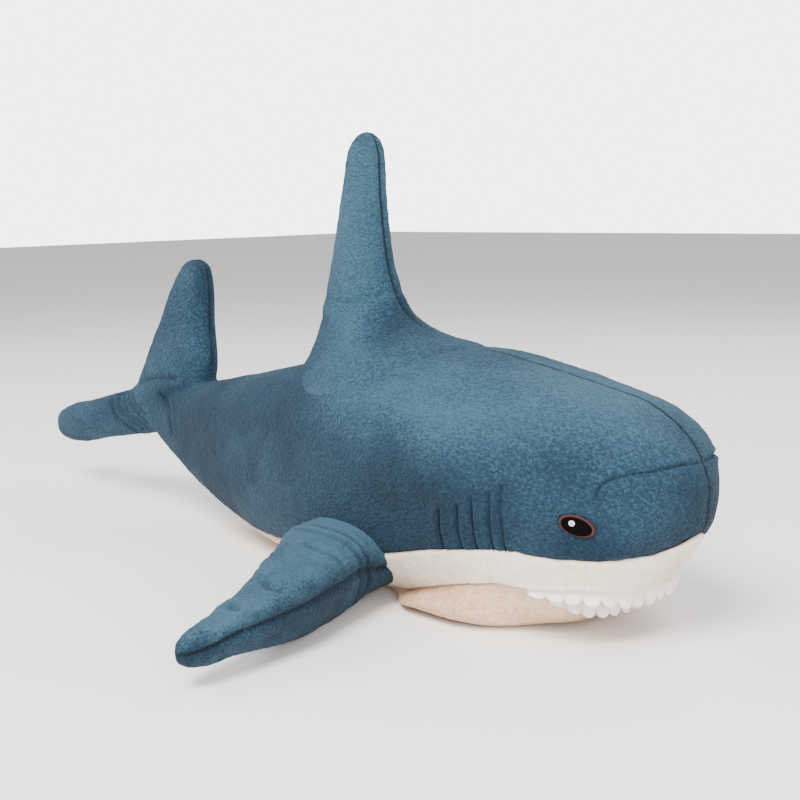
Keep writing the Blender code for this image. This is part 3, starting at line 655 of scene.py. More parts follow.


# The dips and the painted shade of one blue panel: its two seams, the gill tucks, the dart and the seat of
# the eye.
def backSewing(base, s, side):
    middle = np.abs(base[..., 1])
    toWhite = lineDistance(base, whiteSeamLine())
    dip = np.maximum(0.45 * edgeDip(middle, base, 21 + side), edgeDip(toWhite, base, 31 + side))
    shade = np.maximum(bell(middle, 0.0022), 0.8 * bell(toWhite, 0.0016))
    for index in range(len(gills["top"])):
        near = lineDistance(base, gillLine(index, 1))
        dip += pinch(near, gills["depth"], gills["width"], 0.5)
        shade = np.maximum(shade, 0.6 * bell(near, 0.0016))
    near = lineDistance(base, dartLine(1))
    shallow = 0.35 + 0.65 * easeStep(middle, 0.002, 0.016)  # where the dart starts on the back seam
    dip += shallow * pinch(near, dart["depth"], dart["width"], 0.5)
    shade = np.maximum(shade, 0.55 * bell(near, 0.0014))
    hookS, hookTurn = dart["end"]
    away = np.linalg.norm(base - bodySkin(np.array([hookS]), np.radians(np.array([hookTurn])))[0], axis=-1)
    dip += dart["gatherDepth"] * bell(away, dart["gathered"]) * ripple(base, 0.013, 41)
    rim = eyeShare(base)
    facing = (base[..., 1] > 0.02) & (base[..., 2] < 0.20)
    dip += np.where(facing, 0.0016 * bell(rim - 1.05, 0.22), 0)
    # painted shade: a thin dark line round the eye, where its edge sinks into the cloth
    shade = np.maximum(shade, np.where(facing, 0.8 * bell(rim - 1.04, 0.07), 0))
    return dip + 0.0015 * bell((s[-1] - s)[:, None], skins["tuckLong"]), shade


# the sum of the strokes: an S-curve with height that paints light on the top and shade on the flank, two
# bells along the body and soft clouds
def backStrokeAndLight(base, s):
    high = base[..., 2]
    top = easeStep(high, strokesAndLight["topFrom"], strokesAndLight["topTo"]) - 0.5
    behind = s[:, None] - strokesAndLight["bandS"]
    band = bell(behind, strokesAndLight["bandLong"]) * easeStep(high, 0.20, 0.27)
    dark = bell(behind, strokesAndLight["darkLong"]) * bell(high - strokesAndLight["darkZ"], strokesAndLight["darkHigh"])
    clouds = ripple(base, strokesAndLight["cloudSize"], 91)
    return strokesAndLight["top"] * top + strokesAndLight["band"] * band - strokesAndLight["dark"] * dark + strokesAndLight["clouds"] * clouds


# One blue panel: over the body from the back seam to the white.
def backSkin(side, word):
    s = rowPlaces(1e-6, skins["rearEnd"], 0.0022, 0.0042)
    turn = seamTurn(s, 1)[:, None] * crowded(140)
    base = bodySkin(s[:, None], turn)
    dip, shade = backSewing(base, s, side)
    swell = softness(base * (1, side, 1)) * easeStep(s, 0, 0.03)[:, None]
    points = bodySkin(s[:, None], turn, swell - dip)
    points[..., 1] = side * np.maximum(points[..., 1], 0.0001)
    piece = surface(f"back_skin_{word}", points, bluePlush, thickness=skins["thickness"],
                    outward=(0.2, 0, 0.14), crease=shade, brushed=backStrokeAndLight(base, s))
    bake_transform(piece)
    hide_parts(f"back_panel_{word}", f"rear_panel_{word}")


# The white band: a strip that runs round the snout from one side to the other, between the blue and the lip.
def muzzleSkin():
    share = 1 - (1 - np.linspace(0, 1, 210)) ** 1.15  # rows lie closer at the nose
    end = skins["muzzleEnd"]
    edges = ((np.linspace(end, 0.0195, 260), 1),
             (np.concatenate([np.linspace(end, 0.080, 200), np.linspace(0.079, 0.068, 60)]), 2))
    paths = []
    for s, column in edges:
        turn = seamTurn(s, column)
        lengths = lengthAlong(bodySkin(s, turn))
        at = share * lengths[-1]
        paths.append(np.stack([np.interp(at, lengths, s), np.interp(at, lengths, turn)], axis=1))
    across = crowded(40)[None, :, None]
    places = paths[0][:, None] * (1 - across) + paths[1][:, None] * across
    s, turn = places[..., 0], places[..., 1]
    half = bodySkin(s, turn)
    toBlue, toLip = crossDistance(half)
    lip = easeStep(0.185 - s, 0, 0.025)  # the free edge over the teeth, which is not sewn
    nose = 1 - easeStep(s, 0.020, 0.055)
    dip = (1 - 0.9 * nose) * edgeDip(toBlue, half, 51) - 0.0022 * nose
    dip += 0.8 * (1 - lip) * edgeDip(toLip, half, 53)
    dip += 0.0016 * lip * (bell(toLip, 0.0025) - bell(toLip - 0.007, 0.005))
    dip += skins["tuckDeep"] * bell(end - s, skins["tuckLong"])
    shade = np.maximum(0.35 * bell(toBlue, 0.0018), 0.6 * (1 - lip) * bell(toLip, 0.0022))
    left, right = (bodySkin(s, turn, softness(half * (1, side, 1), 0.7) - dip) * (1, side, 1)
                   for side in (1, -1))
    piece = surface("muzzle_skin", acrossMiddle(left, right, 0), creamPlush, thickness=skins["thickness"],
                    outward=(0.5, 0, 0.12), crease=acrossMiddle(shade, shade, 0))
    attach(piece, "root")
    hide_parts("muzzle_panel")


# A sheet from one side under the body to the other: both halves dented and settled, then joined.
def underSheet(name, skin, s, turn, toEdge, dip, shade, dents, outward):
    left, right = (
        settled(skin(s[:, None], turn, dents(side) - dip) * (1, side, 1), toEdge) for side in (1, -1)
    )
    return surface(name, acrossMiddle(left, right, 1), shadedCreamPlush, thickness=skins["thickness"],
                   outward=outward, crease=acrossMiddle(shade, shade, 1))


# The cream panel under the body, from the throat to a point under the tail.
def bellySkin():
    s = rowPlaces(skins["jawEnd"], skins["bellyEnd"], 0.0034, 0.0036)
    edge = seamTurn(s, 2)
    edge += (math.pi - edge) * easeStep(s, 0.93, skins["bellyEnd"])
    turn = edge[:, None] + (math.pi - edge)[:, None] * crowded(60)
    base = bodySkin(s[:, None], turn)
    toEdge, _ = crossDistance(base)
    dip = edgeDip(toEdge, base, 61) + 0.0006 * bell(s - s[0], 0.003)[:, None]
    piece = underSheet("belly_skin", bodySkin, s, turn, toEdge, dip, 0.6 * bell(toEdge, 0.0022),
                       lambda side: softness(base * (1, side, 1), 0.8), (0.0, 0, 0.14))
    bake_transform(piece)
    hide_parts("belly_panel", "rear_belly_panel", "trunk_filling", "rear_filling")


backSkin(1, "left")
backSkin(-1, "right")
muzzleSkin()
bellySkin()
print("body skins made")


mouth = {
    "s": 0.170, "z": 0.075, "lipS": 0.068, "lipZ": 0.060, "gape": 0.022,
    "inset": 0.007, "chinBack": 0.016, "chinLift": 0.003, "narrow": 0.05,
    "felt": 0.0016, "toothRoot": 0.57, "lowerSink": 0.0065, "lowerSkip": 36,
    "upper": {"pitch": 0.0215, "drop": 0.0160, "shift": -0.0012, "lean": 0.0030, "rootShade": 0.25},
    "lower": {"pitch": 0.0192, "drop": 0.0190, "shift": 0.0016, "lean": 0.0008, "rootShade": 0.55},
}


# the body's surface drawn in, and moved back and narrowed towards the chin
def jawSkinPoint(s, turn, lift=0.0):
    s, turn = np.broadcast_arrays(np.asarray(s, float), np.asarray(turn, float))
    joined = easeStep(s, 0.165, 0.245)  # behind the corner of the mouth it meets the belly
    point = bodySkin(s, turn, np.asarray(lift) - mouth["inset"] * (1 - joined))
    ahead = easeStep(mouth["s"] - s, 0, mouth["s"] - mouth["lipS"])
    point[..., 0] -= mouth["chinBack"] * ahead
    point[..., 1] *= 1 - mouth["narrow"] * ahead
    point[..., 2] += mouth["chinLift"] * ahead
    return point


# the height of the mouth's plane, a straight slope through the lip and the corner, lowered in front by gape
def mouthHeight(s, gape=0.0):
    slope = (mouth["z"] - mouth["lipZ"] + gape) / (mouth["s"] - mouth["lipS"])
    return mouth["z"] + slope * (s - mouth["s"])


# the angle where the jaw's surface meets the jaw's upper plane, by halving an interval
def rimTurn(s):
    low, high = np.full(np.shape(s), math.radians(92)), np.full(np.shape(s), math.pi)
    for _ in range(26):
        middle = (low + high) / 2
        point = jawSkinPoint(s, middle)
        above = point[..., 2] > mouthHeight(shark["noseX"] - point[..., 0], mouth["gape"])
        low, high = np.where(above, middle, low), np.where(above, high, middle)
    return (low + high) / 2


# the most forward place where the jaw's centre line is still under its plane
def chinPlace():
    places = np.linspace(0.02, 0.10, 400)
    point = jawSkinPoint(places, np.full(400, math.pi))
    under = point[:, 2] < mouthHeight(shark["noseX"] - point[:, 0], mouth["gape"])
    return places[np.argmax(under)]


def jawRim(count):
    s = np.linspace(mouth["s"] - 0.006, chinPlace(), 160)
    return evenly(jawSkinPoint(s, rimTurn(s)), count)


def lipLine(count):
    s = np.concatenate([np.linspace(mouth["s"] - 0.008, 0.080, 60), np.linspace(0.079, mouth["lipS"], 60)])
    return evenly(bodySkin(s, seamTurn(s, 2)), count)


def bothSides(line):
    return acrossMiddle(line, line * (1, -1, 1), 0)


# The lower jaw's cream skin, from the chin back to the throat.
def jawSkin():
    chin = chinPlace()
    t = np.linspace(0, 1, 96)
    s = chin + (skins["jawEnd"] - chin) * (0.45 * t + 0.55 * t**2)  # rows lie closer at the chin
    join = easeStep(s, 0.150, 0.180)
    edge = rimTurn(np.minimum(s, 0.168)) * (1 - join) + seamTurn(s, 2) * join
    turn = edge[:, None] + (math.pi - edge)[:, None] * crowded(60)
    base = jawSkinPoint(s[:, None], turn)
    toEdge, _ = crossDistance(base)
    behind = easeStep(s, 0.160, 0.190)[:, None]
    dip = (0.25 + 0.55 * behind) * edgeDip(toEdge, base, 71) + 0.0006 * bell(s[-1] - s, 0.003)[:, None]
    shade = 0.6 * behind * bell(toEdge, 0.0022)
    piece = underSheet("jaw_skin_cover", jawSkinPoint, s, turn, toEdge, dip, shade,
                       lambda side: softness(base * (1, side, 1), 0.7), (0.52, 0, 0.09))
    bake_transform(piece)
    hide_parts("jaw_skin", "jaw_filling")


# A felt strip with rounded scallops that hangs from a line round the mouth. A scallop's depth follows a power
# of a parabola across the tooth, and each tooth has its own size and curl.
def teethStrip(name, line, teeth, body, part):
    line = bothSides(line)
    length = np.linalg.norm(np.diff(line, axis=0), axis=1).sum()
    count = int(round(length / teeth["pitch"]))
    line = evenly(line, 22 * count + 1)
    along = np.gradient(line, axis=0)
    out = np.cross((0, 0, 1), along)
    out /= np.linalg.norm(out, axis=1, keepdims=True)
    place = np.linspace(0, count, len(line))
    number = np.minimum(np.floor(place), count - 1).astype(np.int64)
    within = place - number
    size = 1 + 0.07 * latticeValue(number, number * 0, number * 0, 5)
    lobe = np.maximum(1 - np.abs(2 * within - 1) ** 2.0, 0) ** 0.64
    fromEnd = np.minimum(place, count - place) * teeth["pitch"]
    root = mouth["toothRoot"]
    full = teeth["drop"] * (0.45 + 0.55 * easeStep(fromEnd, 0, 0.055))  # shorter at the corners of the mouth
    depth = full * (root + (1 - root) * lobe * size)
    curl = teeth["lean"] + 0.0016 * latticeValue(number, number * 0, number * 0, 9)
    tucked = teeth["shift"] * (0.25 + 0.75 * easeStep(fromEnd, 0, 0.05))  # close to the lip at its ends
    down = np.linspace(0, 1, 10)[:, None]
    sewn = 0.0025  # the sewn edge starts this far above the lip's edge, behind it
    height = sewn - down * (depth[None] + sewn)
    waves = 0.0005 * ripple(line[None] + down[..., None] * 0.02, 0.012, 17)
    outwards = tucked + curl[None] * down**2 * (0.4 + 0.6 * lobe[None]) + waves
    points = line[None] + outwards[..., None] * out[None] + height[..., None] * np.array([0, 0, 1])
    # painted shade: darker in the gaps between the teeth, a painted shadow at the roots under the lip, and
    # darker along the lower edge
    parted = bell(np.minimum(within, 1 - within), 0.10)[None] * easeStep(down, 0.35, 0.9)
    rootShadow = teeth["rootShade"] * (1 - easeStep(down, 0.0, 0.55))
    shade = np.clip(0.45 * parted + rootShadow + 0.25 * easeStep(down, 0.93, 1.0), 0, 1)
    piece = surface(name, points, whiteFelt, thickness=mouth["felt"], outward=(0.55, 0, 0.05), crease=shade)
    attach(piece, body)
    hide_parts(part)


# A soft lining inside the mouth: rings from its middle to the rim, domed like an oval and wrinkled.
def liningSheet(name, rim, rise, gape, body, part, swell):
    outline = bothSides(rim)
    back = np.array([outline[0, 0] - 0.012, 0.0])
    share = np.linspace(0, 1, 26)[:, None, None]
    reach = np.linalg.norm(outline[:, :2] - back, axis=1, keepdims=True)
    edge = back + (outline[:, :2] - back) * (1 - 0.003 / reach)  # 3 mm inside the rim
    flat = back + (edge - back)[None] * share
    height = mouthHeight(shark["noseX"] - flat[..., 0], gape) + rise
    ahead = np.clip((flat[..., 0] - back[0]) / 0.05, 0, 1)
    points = np.concatenate([flat, height[..., None]], axis=-1)
    dome = swell * np.sqrt(np.maximum(1 - share[..., 0] ** 2, 0)) * ahead
    points[..., 2] += dome + 0.0006 * ripple(points, 0.02, 23)
    above = 0.5 if swell > 0 else -0.5
    piece = surface(name, points, pinkFelt, thickness=0.0015, outward=(0.6, 0, above))
    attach(piece, body)
    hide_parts(part)


# A sliver of the pink lining that shows in the fold behind each corner of the mouth.
def mouthCorner(side, word):
    s = np.linspace(0.150, 0.212, 40)
    across = np.linspace(-1, 1, 9)
    half = np.radians(1.7) * np.sin(math.pi * np.linspace(0, 1, 40)) ** 0.7
    turn = seamTurn(s, 2)[:, None] + np.radians(0.8) + half[:, None] * across[None]
    wrinkles = 0.0005 * ripple(s[:, None, None] + np.zeros(3), 0.006, 33)
    points = bodySkin(s[:, None], turn, wrinkles - 0.0022 - 0.0012 * across[None] ** 2) * (1, side, 1)
    piece = surface(f"mouth_corner_{word}", points, pinkFelt, thickness=0.0012, outward=(0.5, 0, 0.1))
    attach(piece, "root")


jawSkin()
teethStrip("upper_teeth_strip", lipLine(200), mouth["upper"], "root", "upper_teeth")
lowerLine = jawRim(200)[mouth["lowerSkip"]:] - np.array([0, 0, mouth["lowerSink"]])
teethStrip("lower_teeth_strip", lowerLine, mouth["lower"], "jaw", "lower_teeth")
liningSheet("palate_cover", lipLine(120), 0.0022, 0.0, "root", "palate_lining", 0.004)
liningSheet("jaw_cover", jawRim(120), -0.0022, mouth["gape"], "jaw", "jaw_lining", -0.003)
for side, word in ((1, "left"), (-1, "right")):
    mouthCorner(side, word)
print("jaw and mouth made")


# An embroidered oval: domed rings with a fine ridge for each thread, from the sine of the angle. Its place
# and half sizes are along and across the eye, and lift and dome are heights over the cloth.
def eyePatch(name, side, patch, part=None):
    share = np.linspace(0, 1, 16)[:, None]
    turn = np.linspace(0, 2 * math.pi, 144, endpoint=False)[None]
    a = patch["place"][0] + patch["half"][0] * share * np.cos(turn)
    b = patch["place"][1] + patch["half"][1] * share * np.sin(turn)
    c, d = math.cos(eye["tilt"]), math.sin(eye["tilt"])
    dome = patch["dome"] * np.sqrt(np.maximum(1 - share**4, 0)) - 0.0016 * easeStep(share, 0.93, 1.0)
    outer = easeStep(share, 0.5, 0.8) * (share < 0.999)
    ridge = 0.00016 * np.abs(np.sin(patch["threads"] * turn / 2)) * outer
    points = flank(eye["s"] + a * c + b * d, eye["z"] - a * d + b * c, side, patch["lift"] + dome + ridge)
    piece = surface(name, points, patch["cloth"], wrapped=True, thickness=0.0010, outward=(0.55, 0, 0.14))
    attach(piece, "root")
    if part:
        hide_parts(part)


# half sizes of an oval of the eye's shape
def oval(share):
    return eye["long"] * share, eye["high"] * share


patches = {
    "ring": {"half": oval(1.0), "place": (0, 0), "lift": 0.0004, "dome": 0.0016, "threads": 96,
             "cloth": brownSatin, "slot": "brown_thread"},
    "pupil": {"half": oval(0.885), "place": (0, 0), "lift": 0.0010, "dome": 0.0024, "threads": 60,
              "cloth": blackSatin, "slot": "black_thread"},
    "highlight": {"half": (0.0036, 0.0034), "place": (0.0052, 0.0022), "lift": 0.0030, "dome": 0.0014,
                  "threads": 40, "cloth": whiteSatin, "slot": "white_thread"},
}
spark = {"half": (0.0014, 0.0013), "place": (0.0052, 0.0022), "lift": 0.0041, "dome": 0.0010,
         "threads": 24, "cloth": greySatin, "slot": "white_thread"}
for side, word in ((1, "left"), (-1, "right")):
    for label, patch in patches.items():
        eyePatch(f"eye_{label}_patch_{word}", side, patch, f"eye_{label}_{word}")
    eyePatch(f"eye_spark_{word}", side, spark)
print("eyes made")


# A row of running stitches as one thread that rises over the cloth and dives into it at each stitch.
def stitches(path, normal, pitch, radius, sink):
    length = np.linalg.norm(np.diff(path, axis=0), axis=1).sum()
    count = max(int(round(length / pitch)), 1)
    place = np.linspace(0, count, len(path))
    wave = np.abs(np.sin(math.pi * place)) ** 0.5  # quick over the cloth, sharp where it dives
    return tube(path + normal * (wave * sink - sink)[:, None], radius)


for side, word in ((1, "left"), (-1, "right")):
    for index in range(len(gills["top"])):
        line = gillLine(index, side, 90, -0.0018)
        out = gillLine(index, side, 90, 0.0) - line
        out /= np.linalg.norm(out, axis=1, keepdims=True)
        points = stitches(line, out, 0.0045, 0.00062, 0.0009)
        piece = surface(f"gill_thread_{word}_{index + 1}", points, navyThread, wrapped=True)
        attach(piece, "root")
        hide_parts(f"gill_stitch_{word}_{index + 1}")


# the seam where the toy was filled: a thread that zigzags over the flank's seam behind the side fin
def closingStitch():
    s = np.linspace(0.575, 0.635, 160)
    zigzag = 0.016 * (2 * np.abs((np.arange(160) / 13.0) % 1 * 2 - 1) - 1)
    points = tube(bodySkin(s, seamTurn(s, 1) + zigzag, -0.0012), 0.0007)
    piece = surface("closing_thread", points, navyThread, wrapped=True)
    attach(piece, "root")
    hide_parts("closing_stitch")


# A blank folded tape sewn into the side seam: two layers that part by a half sine, and droop with the square.
def careLabel():
    s, turn = 0.66, float(seamTurn(0.66, 1))
    foot, out = bodySkin(s, turn, -0.002), bodySkin(s, turn, 0.0285)
    direction = out - foot
    loop = np.linspace(-1, 1, 41)  # up one layer, over the fold and down the other
    share = 1 - np.abs(loop)
    parted = 0.0016 * np.sin(math.pi * share) * np.sign(loop) + 0.0004
    across = np.linspace(-0.009, 0.009, 15)
    normal = np.cross((1, 0, 0), direction)
    normal /= np.linalg.norm(normal)
    droop = -0.006 * share**2
    points = foot + share[:, None, None] * direction + across[None, :, None] * np.array([1, 0, 0])
    points = points + parted[:, None, None] * normal + droop[:, None, None] * np.array([0, 0, 1])
    points[..., 2] += 0.0006 * np.sin(across * 260)[None] * share[:, None]
    piece = surface("care_label_tape", points, tape, thickness=0.0005, outward=foot + 0.5 * direction)
    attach(piece, "root")
    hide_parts("care_label")


closingStitch()
careLabel()
print("stitches and label made")


# cosine and sine of turn with their size raised to a power, which squares or pinches a round section
def superRound(turn, power):
    c, d = np.cos(turn), np.sin(turn)
    return np.sign(c) * np.abs(c) ** power, np.sign(d) * np.abs(d) ** power


# A smooth pad through a fin's rows, which closes as a quarter of an oval at its tip. Its columns start at the
# front edge. It gives the place in the fin's plane and the height over it.
def finGrid(fin):
    table = np.array([(*front, *rear, half) for front, rear, half in fin["rows"]])
    lengths = lengthAlong((table[:, 0:2] + table[:, 2:4]) / 2)
    t = 1 - (1 - np.linspace(0, 1, fin["count"])) ** 1.8  # rows crowd towards the tip
    at = t * lengths[-1]
    values = smoothThrough(lengths[:-1], table[:-1], np.minimum(at, lengths[-2]))
    tip = np.clip((at - lengths[-2]) / (lengths[-1] - lengths[-2]), 0, 1)
    closing = np.sqrt(np.maximum(1 - tip**2, 0))
    ahead = table[-1, 0:2] - (table[-2, 0:2] + table[-2, 2:4]) / 2
    middle = (values[:, 0:2] + values[:, 2:4]) / 2 + tip[:, None] * ahead
    reach = (values[:, 2:4] - values[:, 0:2]) / 2 * closing[:, None]
    turn = np.linspace(0, 2 * math.pi, fin["columns"], endpoint=False)
    chord, thick = superRound(turn, fin["roundness"])
    flat = middle[:, None] - reach[:, None] * chord[None, :, None]
    return flat, (values[:, 4] * closing)[:, None] * thick[None]


# distance from the front and from the rear seam of a fin, along its section
def seamGap(flat, thick):
    steps = [np.gradient(part, axis=1) for part in (flat[..., 0], flat[..., 1], thick)]
    along = np.cumsum(np.linalg.norm(np.stack(steps), axis=0), axis=1)
    total = along[:, -1:]
    return np.minimum(along, total - along), np.abs(along - total / 2)


# 1 over most of the fin and less where it gets thin: nothing is sewn in at the very tip
def thinning(thick, full):
    return np.clip(np.abs(thick).max(axis=1, keepdims=True) / full - 0.15, 0, 1)


# the grid moved out of the fin by lift, with both ends closed to a point
def swollen(base, lift):
    normal = gridNormals(base, True)
    outside = np.sign(np.sum(normal * (base - base.mean(axis=1, keepdims=True)), axis=-1).mean())
    points = base + normal * lift[..., None] * outside
    points[0], points[-1] = points[0].mean(axis=0), points[-1].mean(axis=0)
    return points


dorsal = {
    "rows": (  # front edge (s, z), rear edge (s, z), half thickness, from inside the body up to the tip
        ((0.315, 0.275), (0.690, 0.205), 0.119), ((0.323, 0.311), (0.680, 0.245), 0.109),
        ((0.350, 0.327), (0.664, 0.270), 0.091), ((0.388, 0.334), (0.648, 0.292), 0.073),
        ((0.420, 0.342), (0.639, 0.313), 0.059), ((0.446, 0.353), (0.631, 0.334), 0.049),
        ((0.467, 0.368), (0.625, 0.354), 0.0420), ((0.482, 0.388), (0.618, 0.374), 0.0380),
        ((0.493, 0.414), (0.610, 0.406), 0.0350), ((0.502, 0.457), (0.599, 0.453), 0.0315),
        ((0.508, 0.509), (0.586, 0.507), 0.0280), ((0.510, 0.560), (0.573, 0.559), 0.0245),
        ((0.536, 0.608), (0.536, 0.608), 0.0),
    ),
    "count": 150, "columns": 132, "roundness": 1.04, "seamDepth": 0.0042, "seamWidth": 0.0038,
    "creases": (
        ((0.50, 0.385), (0.545, 0.372), (0.585, 0.378)), ((0.56, 0.352), (0.60, 0.345), (0.635, 0.352)),
    ),
    "seamFrom": 0.33, "seamFull": 0.37,  # no seam below these heights, where the fin spreads into the back
    "darkS": 0.452, "darkLong": 0.030, "darkZ": 0.385, "darkHigh": 0.038,  # a darker stroke low in front
}


# The back fin: a tapered pad that spreads into the back, with its seam along the front and rear edges.
def dorsalFin():
    flat, thick = finGrid(dorsal)
    base = np.stack([shark["noseX"] - flat[..., 0], thick, flat[..., 1]], axis=-1)
    front, rear = seamGap(flat, thick)
    depth, width = dorsal["seamDepth"], dorsal["seamWidth"]
    dip = pinch(front, depth, width, 0.2) + pinch(rear, depth, width, 0.2)
    clear = easeStep(flat[..., 1], dorsal["seamFrom"], dorsal["seamFull"])
    shade = 0.9 * bell(np.minimum(front, rear), 0.0022) * clear
    for crease in dorsal["creases"]:
        dip += pinch(lineDistance(flat, np.array(crease)), 0.0022, 0.007, 0.5)
    points = swollen(base, softness(base) - dip * clear * thinning(thick, 0.016))
    dark = bell(flat[..., 0] - dorsal["darkS"], dorsal["darkLong"])
    dark = dark * bell(flat[..., 1] - dorsal["darkZ"], dorsal["darkHigh"])
    # painted light: the whole fin is lighter, as it stands in the light on top; it is darker low in front,
    # with soft clouds
    strokeAndLight = 0.26 - 0.50 * dark + 0.12 * ripple(base, 0.07, 93)
    piece = surface("dorsal_fin_skin", points, bluePlush, wrapped=True, crease=shade, brushed=strokeAndLight)
    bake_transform(piece)
    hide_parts("dorsal_panel_left", "dorsal_panel_right", "dorsal_filling")


pectoral = {
    "rows": (  # front edge (s, reach), rear edge (s, reach), half thickness, from inside the body out
        ((0.374, -0.110), (0.543, -0.110), 0.046), ((0.374, -0.075), (0.541, -0.075), 0.048),
        ((0.374, -0.045), (0.532, -0.045), 0.0485), ((0.372, -0.020), (0.521, -0.020), 0.0470),
        ((0.365, 0.010), (0.504, 0.010), 0.0460), ((0.354, 0.050), (0.478, 0.046), 0.0450),
        ((0.338, 0.110), (0.436, 0.104), 0.0425), ((0.331, 0.175), (0.401, 0.168), 0.0360),
        ((0.332, 0.232), (0.375, 0.230), 0.0265), ((0.349, 0.294), (0.349, 0.294), 0.0),
    ),
    "seamRise": 0.013,  # the seam lies above the middle
    "underDrop": 0.012, "underRise": 0.006,  # the underside hangs by the body and lifts at the tip
    "y": 0.188, "z": 0.056, "droop": math.radians(3.5),
    "count": 150, "columns": 132, "roundness": 0.88, "seamDepth": 0.0046, "seamWidth": 0.0040,
    "rings": (-0.014, 0.004),  # two seams around the root
    "ringDepth": 0.0036, "ringWidth": 0.0034, "foldDepth": 0.0046, "foldWidth": 0.0044,
    "blendFrom": 0.145, "blendTo": 0.215, "blendX": 0.245,  # where the skin goes over to the fin
    "creases": (  # on top, (s, reach)
        ((0.505, 0.078), (0.465, 0.094), (0.440, 0.088)), ((0.470, 0.118), (0.445, 0.122), (0.425, 0.114)),
        ((0.345, 0.150), (0.358, 0.156), (0.370, 0.150)), ((0.366, 0.205), (0.358, 0.210), (0.350, 0.208)),
        ((0.420, 0.040), (0.390, 0.046), (0.362, 0.040)),
    ),
}


# A side fin: a thick paddle with a seam along its edges, two round its root, and folds across the top. Its
# section is raised by a parabola through the seam, the top and the underside.
def pectoralFin(side, word):
    flat, thick = finGrid(pectoral)
    reach = flat[..., 1]
    c, d = math.cos(pectoral["droop"]), math.sin(pectoral["droop"])
    base = np.stack([
        shark["noseX"] - flat[..., 0],
        side * (pectoral["y"] + reach * c + thick * d),
        pectoral["z"] - reach * d + thick * c,
    ], axis=-1)
    share = thick / np.maximum(np.abs(thick).max(axis=1, keepdims=True), 1e-6)
    outer = easeStep(reach, 0.02, 0.20)
    under = pectoral["underRise"] * outer - pectoral["underDrop"] * (1 - outer)
    raised = pectoral["seamRise"] - under / 2 * share + (under / 2 - pectoral["seamRise"]) * share**2
    base[..., 2] += raised * easeStep(reach, -0.06, 0.01) * (1 - 0.5 * easeStep(reach, 0.20, 0.29))
    front, rear = seamGap(flat, thick)
    toSeam = np.minimum(front, rear)
    depth, width = pectoral["seamDepth"], pectoral["seamWidth"]
    dip = pinch(front, depth, width, 0.2) + pinch(rear, depth, width, 0.2)
    shade = 0.85 * bell(toSeam, 0.0024)
    for ring in pectoral["rings"]:
        dip += pinch(np.abs(reach - ring), pectoral["ringDepth"], pectoral["ringWidth"], 0.35)
        shade = np.maximum(shade, 0.9 * bell(reach - ring, 0.0020))
    top = easeStep(thick, 0.004, 0.018) * easeStep(toSeam, 0.006, 0.020)
    for crease in pectoral["creases"]:
        near = lineDistance(flat, np.array(crease))
        dip += top * pinch(near, pectoral["foldDepth"], pectoral["foldWidth"], 0.5)
        shade = np.maximum(shade, 0.5 * top * bell(near, 0.0030))
    closing = thinning(thick, 0.018)
    folds = 0.0011 * closing * ripple(base, 0.016, 81, (0.7, 2.4, 1)) * np.exp(-toSeam / 0.030)
    points = swollen(base, softness(base, 0.9) + folds - dip * closing)
    clouds = 0.12 * ripple(base, 0.06, 95) + 0.14 * ripple(base, 0.011, 96)
    strokeAndLight = 0.60 * easeStep(thick, -0.01, 0.03) - 0.18 + clouds  # painted light: lighter on top, where the light falls, and darker underneath
    name = f"pectoral_fin_skin_{word}"
    piece = surface(name, points, bluePlush, wrapped=True, crease=shade, brushed=strokeAndLight)
    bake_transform(piece)
    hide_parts(f"pectoral_top_{word}", f"pectoral_under_{word}", f"pectoral_filling_{word}")


tail = {
    "rows": (  # front edge (s, z), rear edge (s, z), half thickness, from the lower tip to the upper tip
        ((1.379, 0.113), (1.379, 0.113), 0.0), ((1.372, 0.096), (1.373, 0.130), 0.011),
        ((1.352, 0.087), (1.354, 0.143), 0.018), ((1.310, 0.085), (1.320, 0.157), 0.024),
        ((1.210, 0.103), (1.250, 0.172), 0.029), ((1.120, 0.119), (1.190, 0.187), 0.032),
        ((1.048, 0.136), (1.150, 0.196), 0.035), ((1.012, 0.166), (1.122, 0.203), 0.036),
        ((0.962, 0.200), (1.105, 0.209), 0.038), ((0.915, 0.226), (1.092, 0.229), 0.038),
        ((0.903, 0.252), (1.074, 0.256), 0.036), ((0.901, 0.287), (1.053, 0.292), 0.032),
        ((0.903, 0.325), (1.027, 0.331), 0.028), ((0.901, 0.368), (1.000, 0.375), 0.025),
        ((0.903, 0.402), (0.976, 0.406), 0.020), ((0.910, 0.421), (0.957, 0.424), 0.013),
        ((0.932, 0.433), (0.932, 0.433), 0.0),
    ),
    "thinnest": 0.0004, "roundness": 0.92,
    "stalk": (0.900, 1.050), "voxel": 0.0045, "smooth": 22,  # the stretch of body that is joined to the fin
    "seamDepth": 0.0040, "seamWidth": 0.0042, "foldDepth": 0.0034, "foldWidth": 0.0046,
    "blendFrom": 0.985, "blendTo": 1.085, "blendZ": 0.2,
    "wrinkles": (
        ((1.150, 0.192), (1.120, 0.165), (1.075, 0.140)), ((1.128, 0.196), (1.100, 0.168), (1.062, 0.146)),
        ((1.108, 0.198), (1.082, 0.176), (1.050, 0.152)), ((1.088, 0.196), (1.066, 0.178), (1.040, 0.160)),
        ((1.060, 0.220), (1.010, 0.232), (0.960, 0.236)), ((1.000, 0.205), (0.970, 0.185), (0.955, 0.150)),
        ((1.165, 0.178), (1.140, 0.150), (1.100, 0.132)),
    ),
}


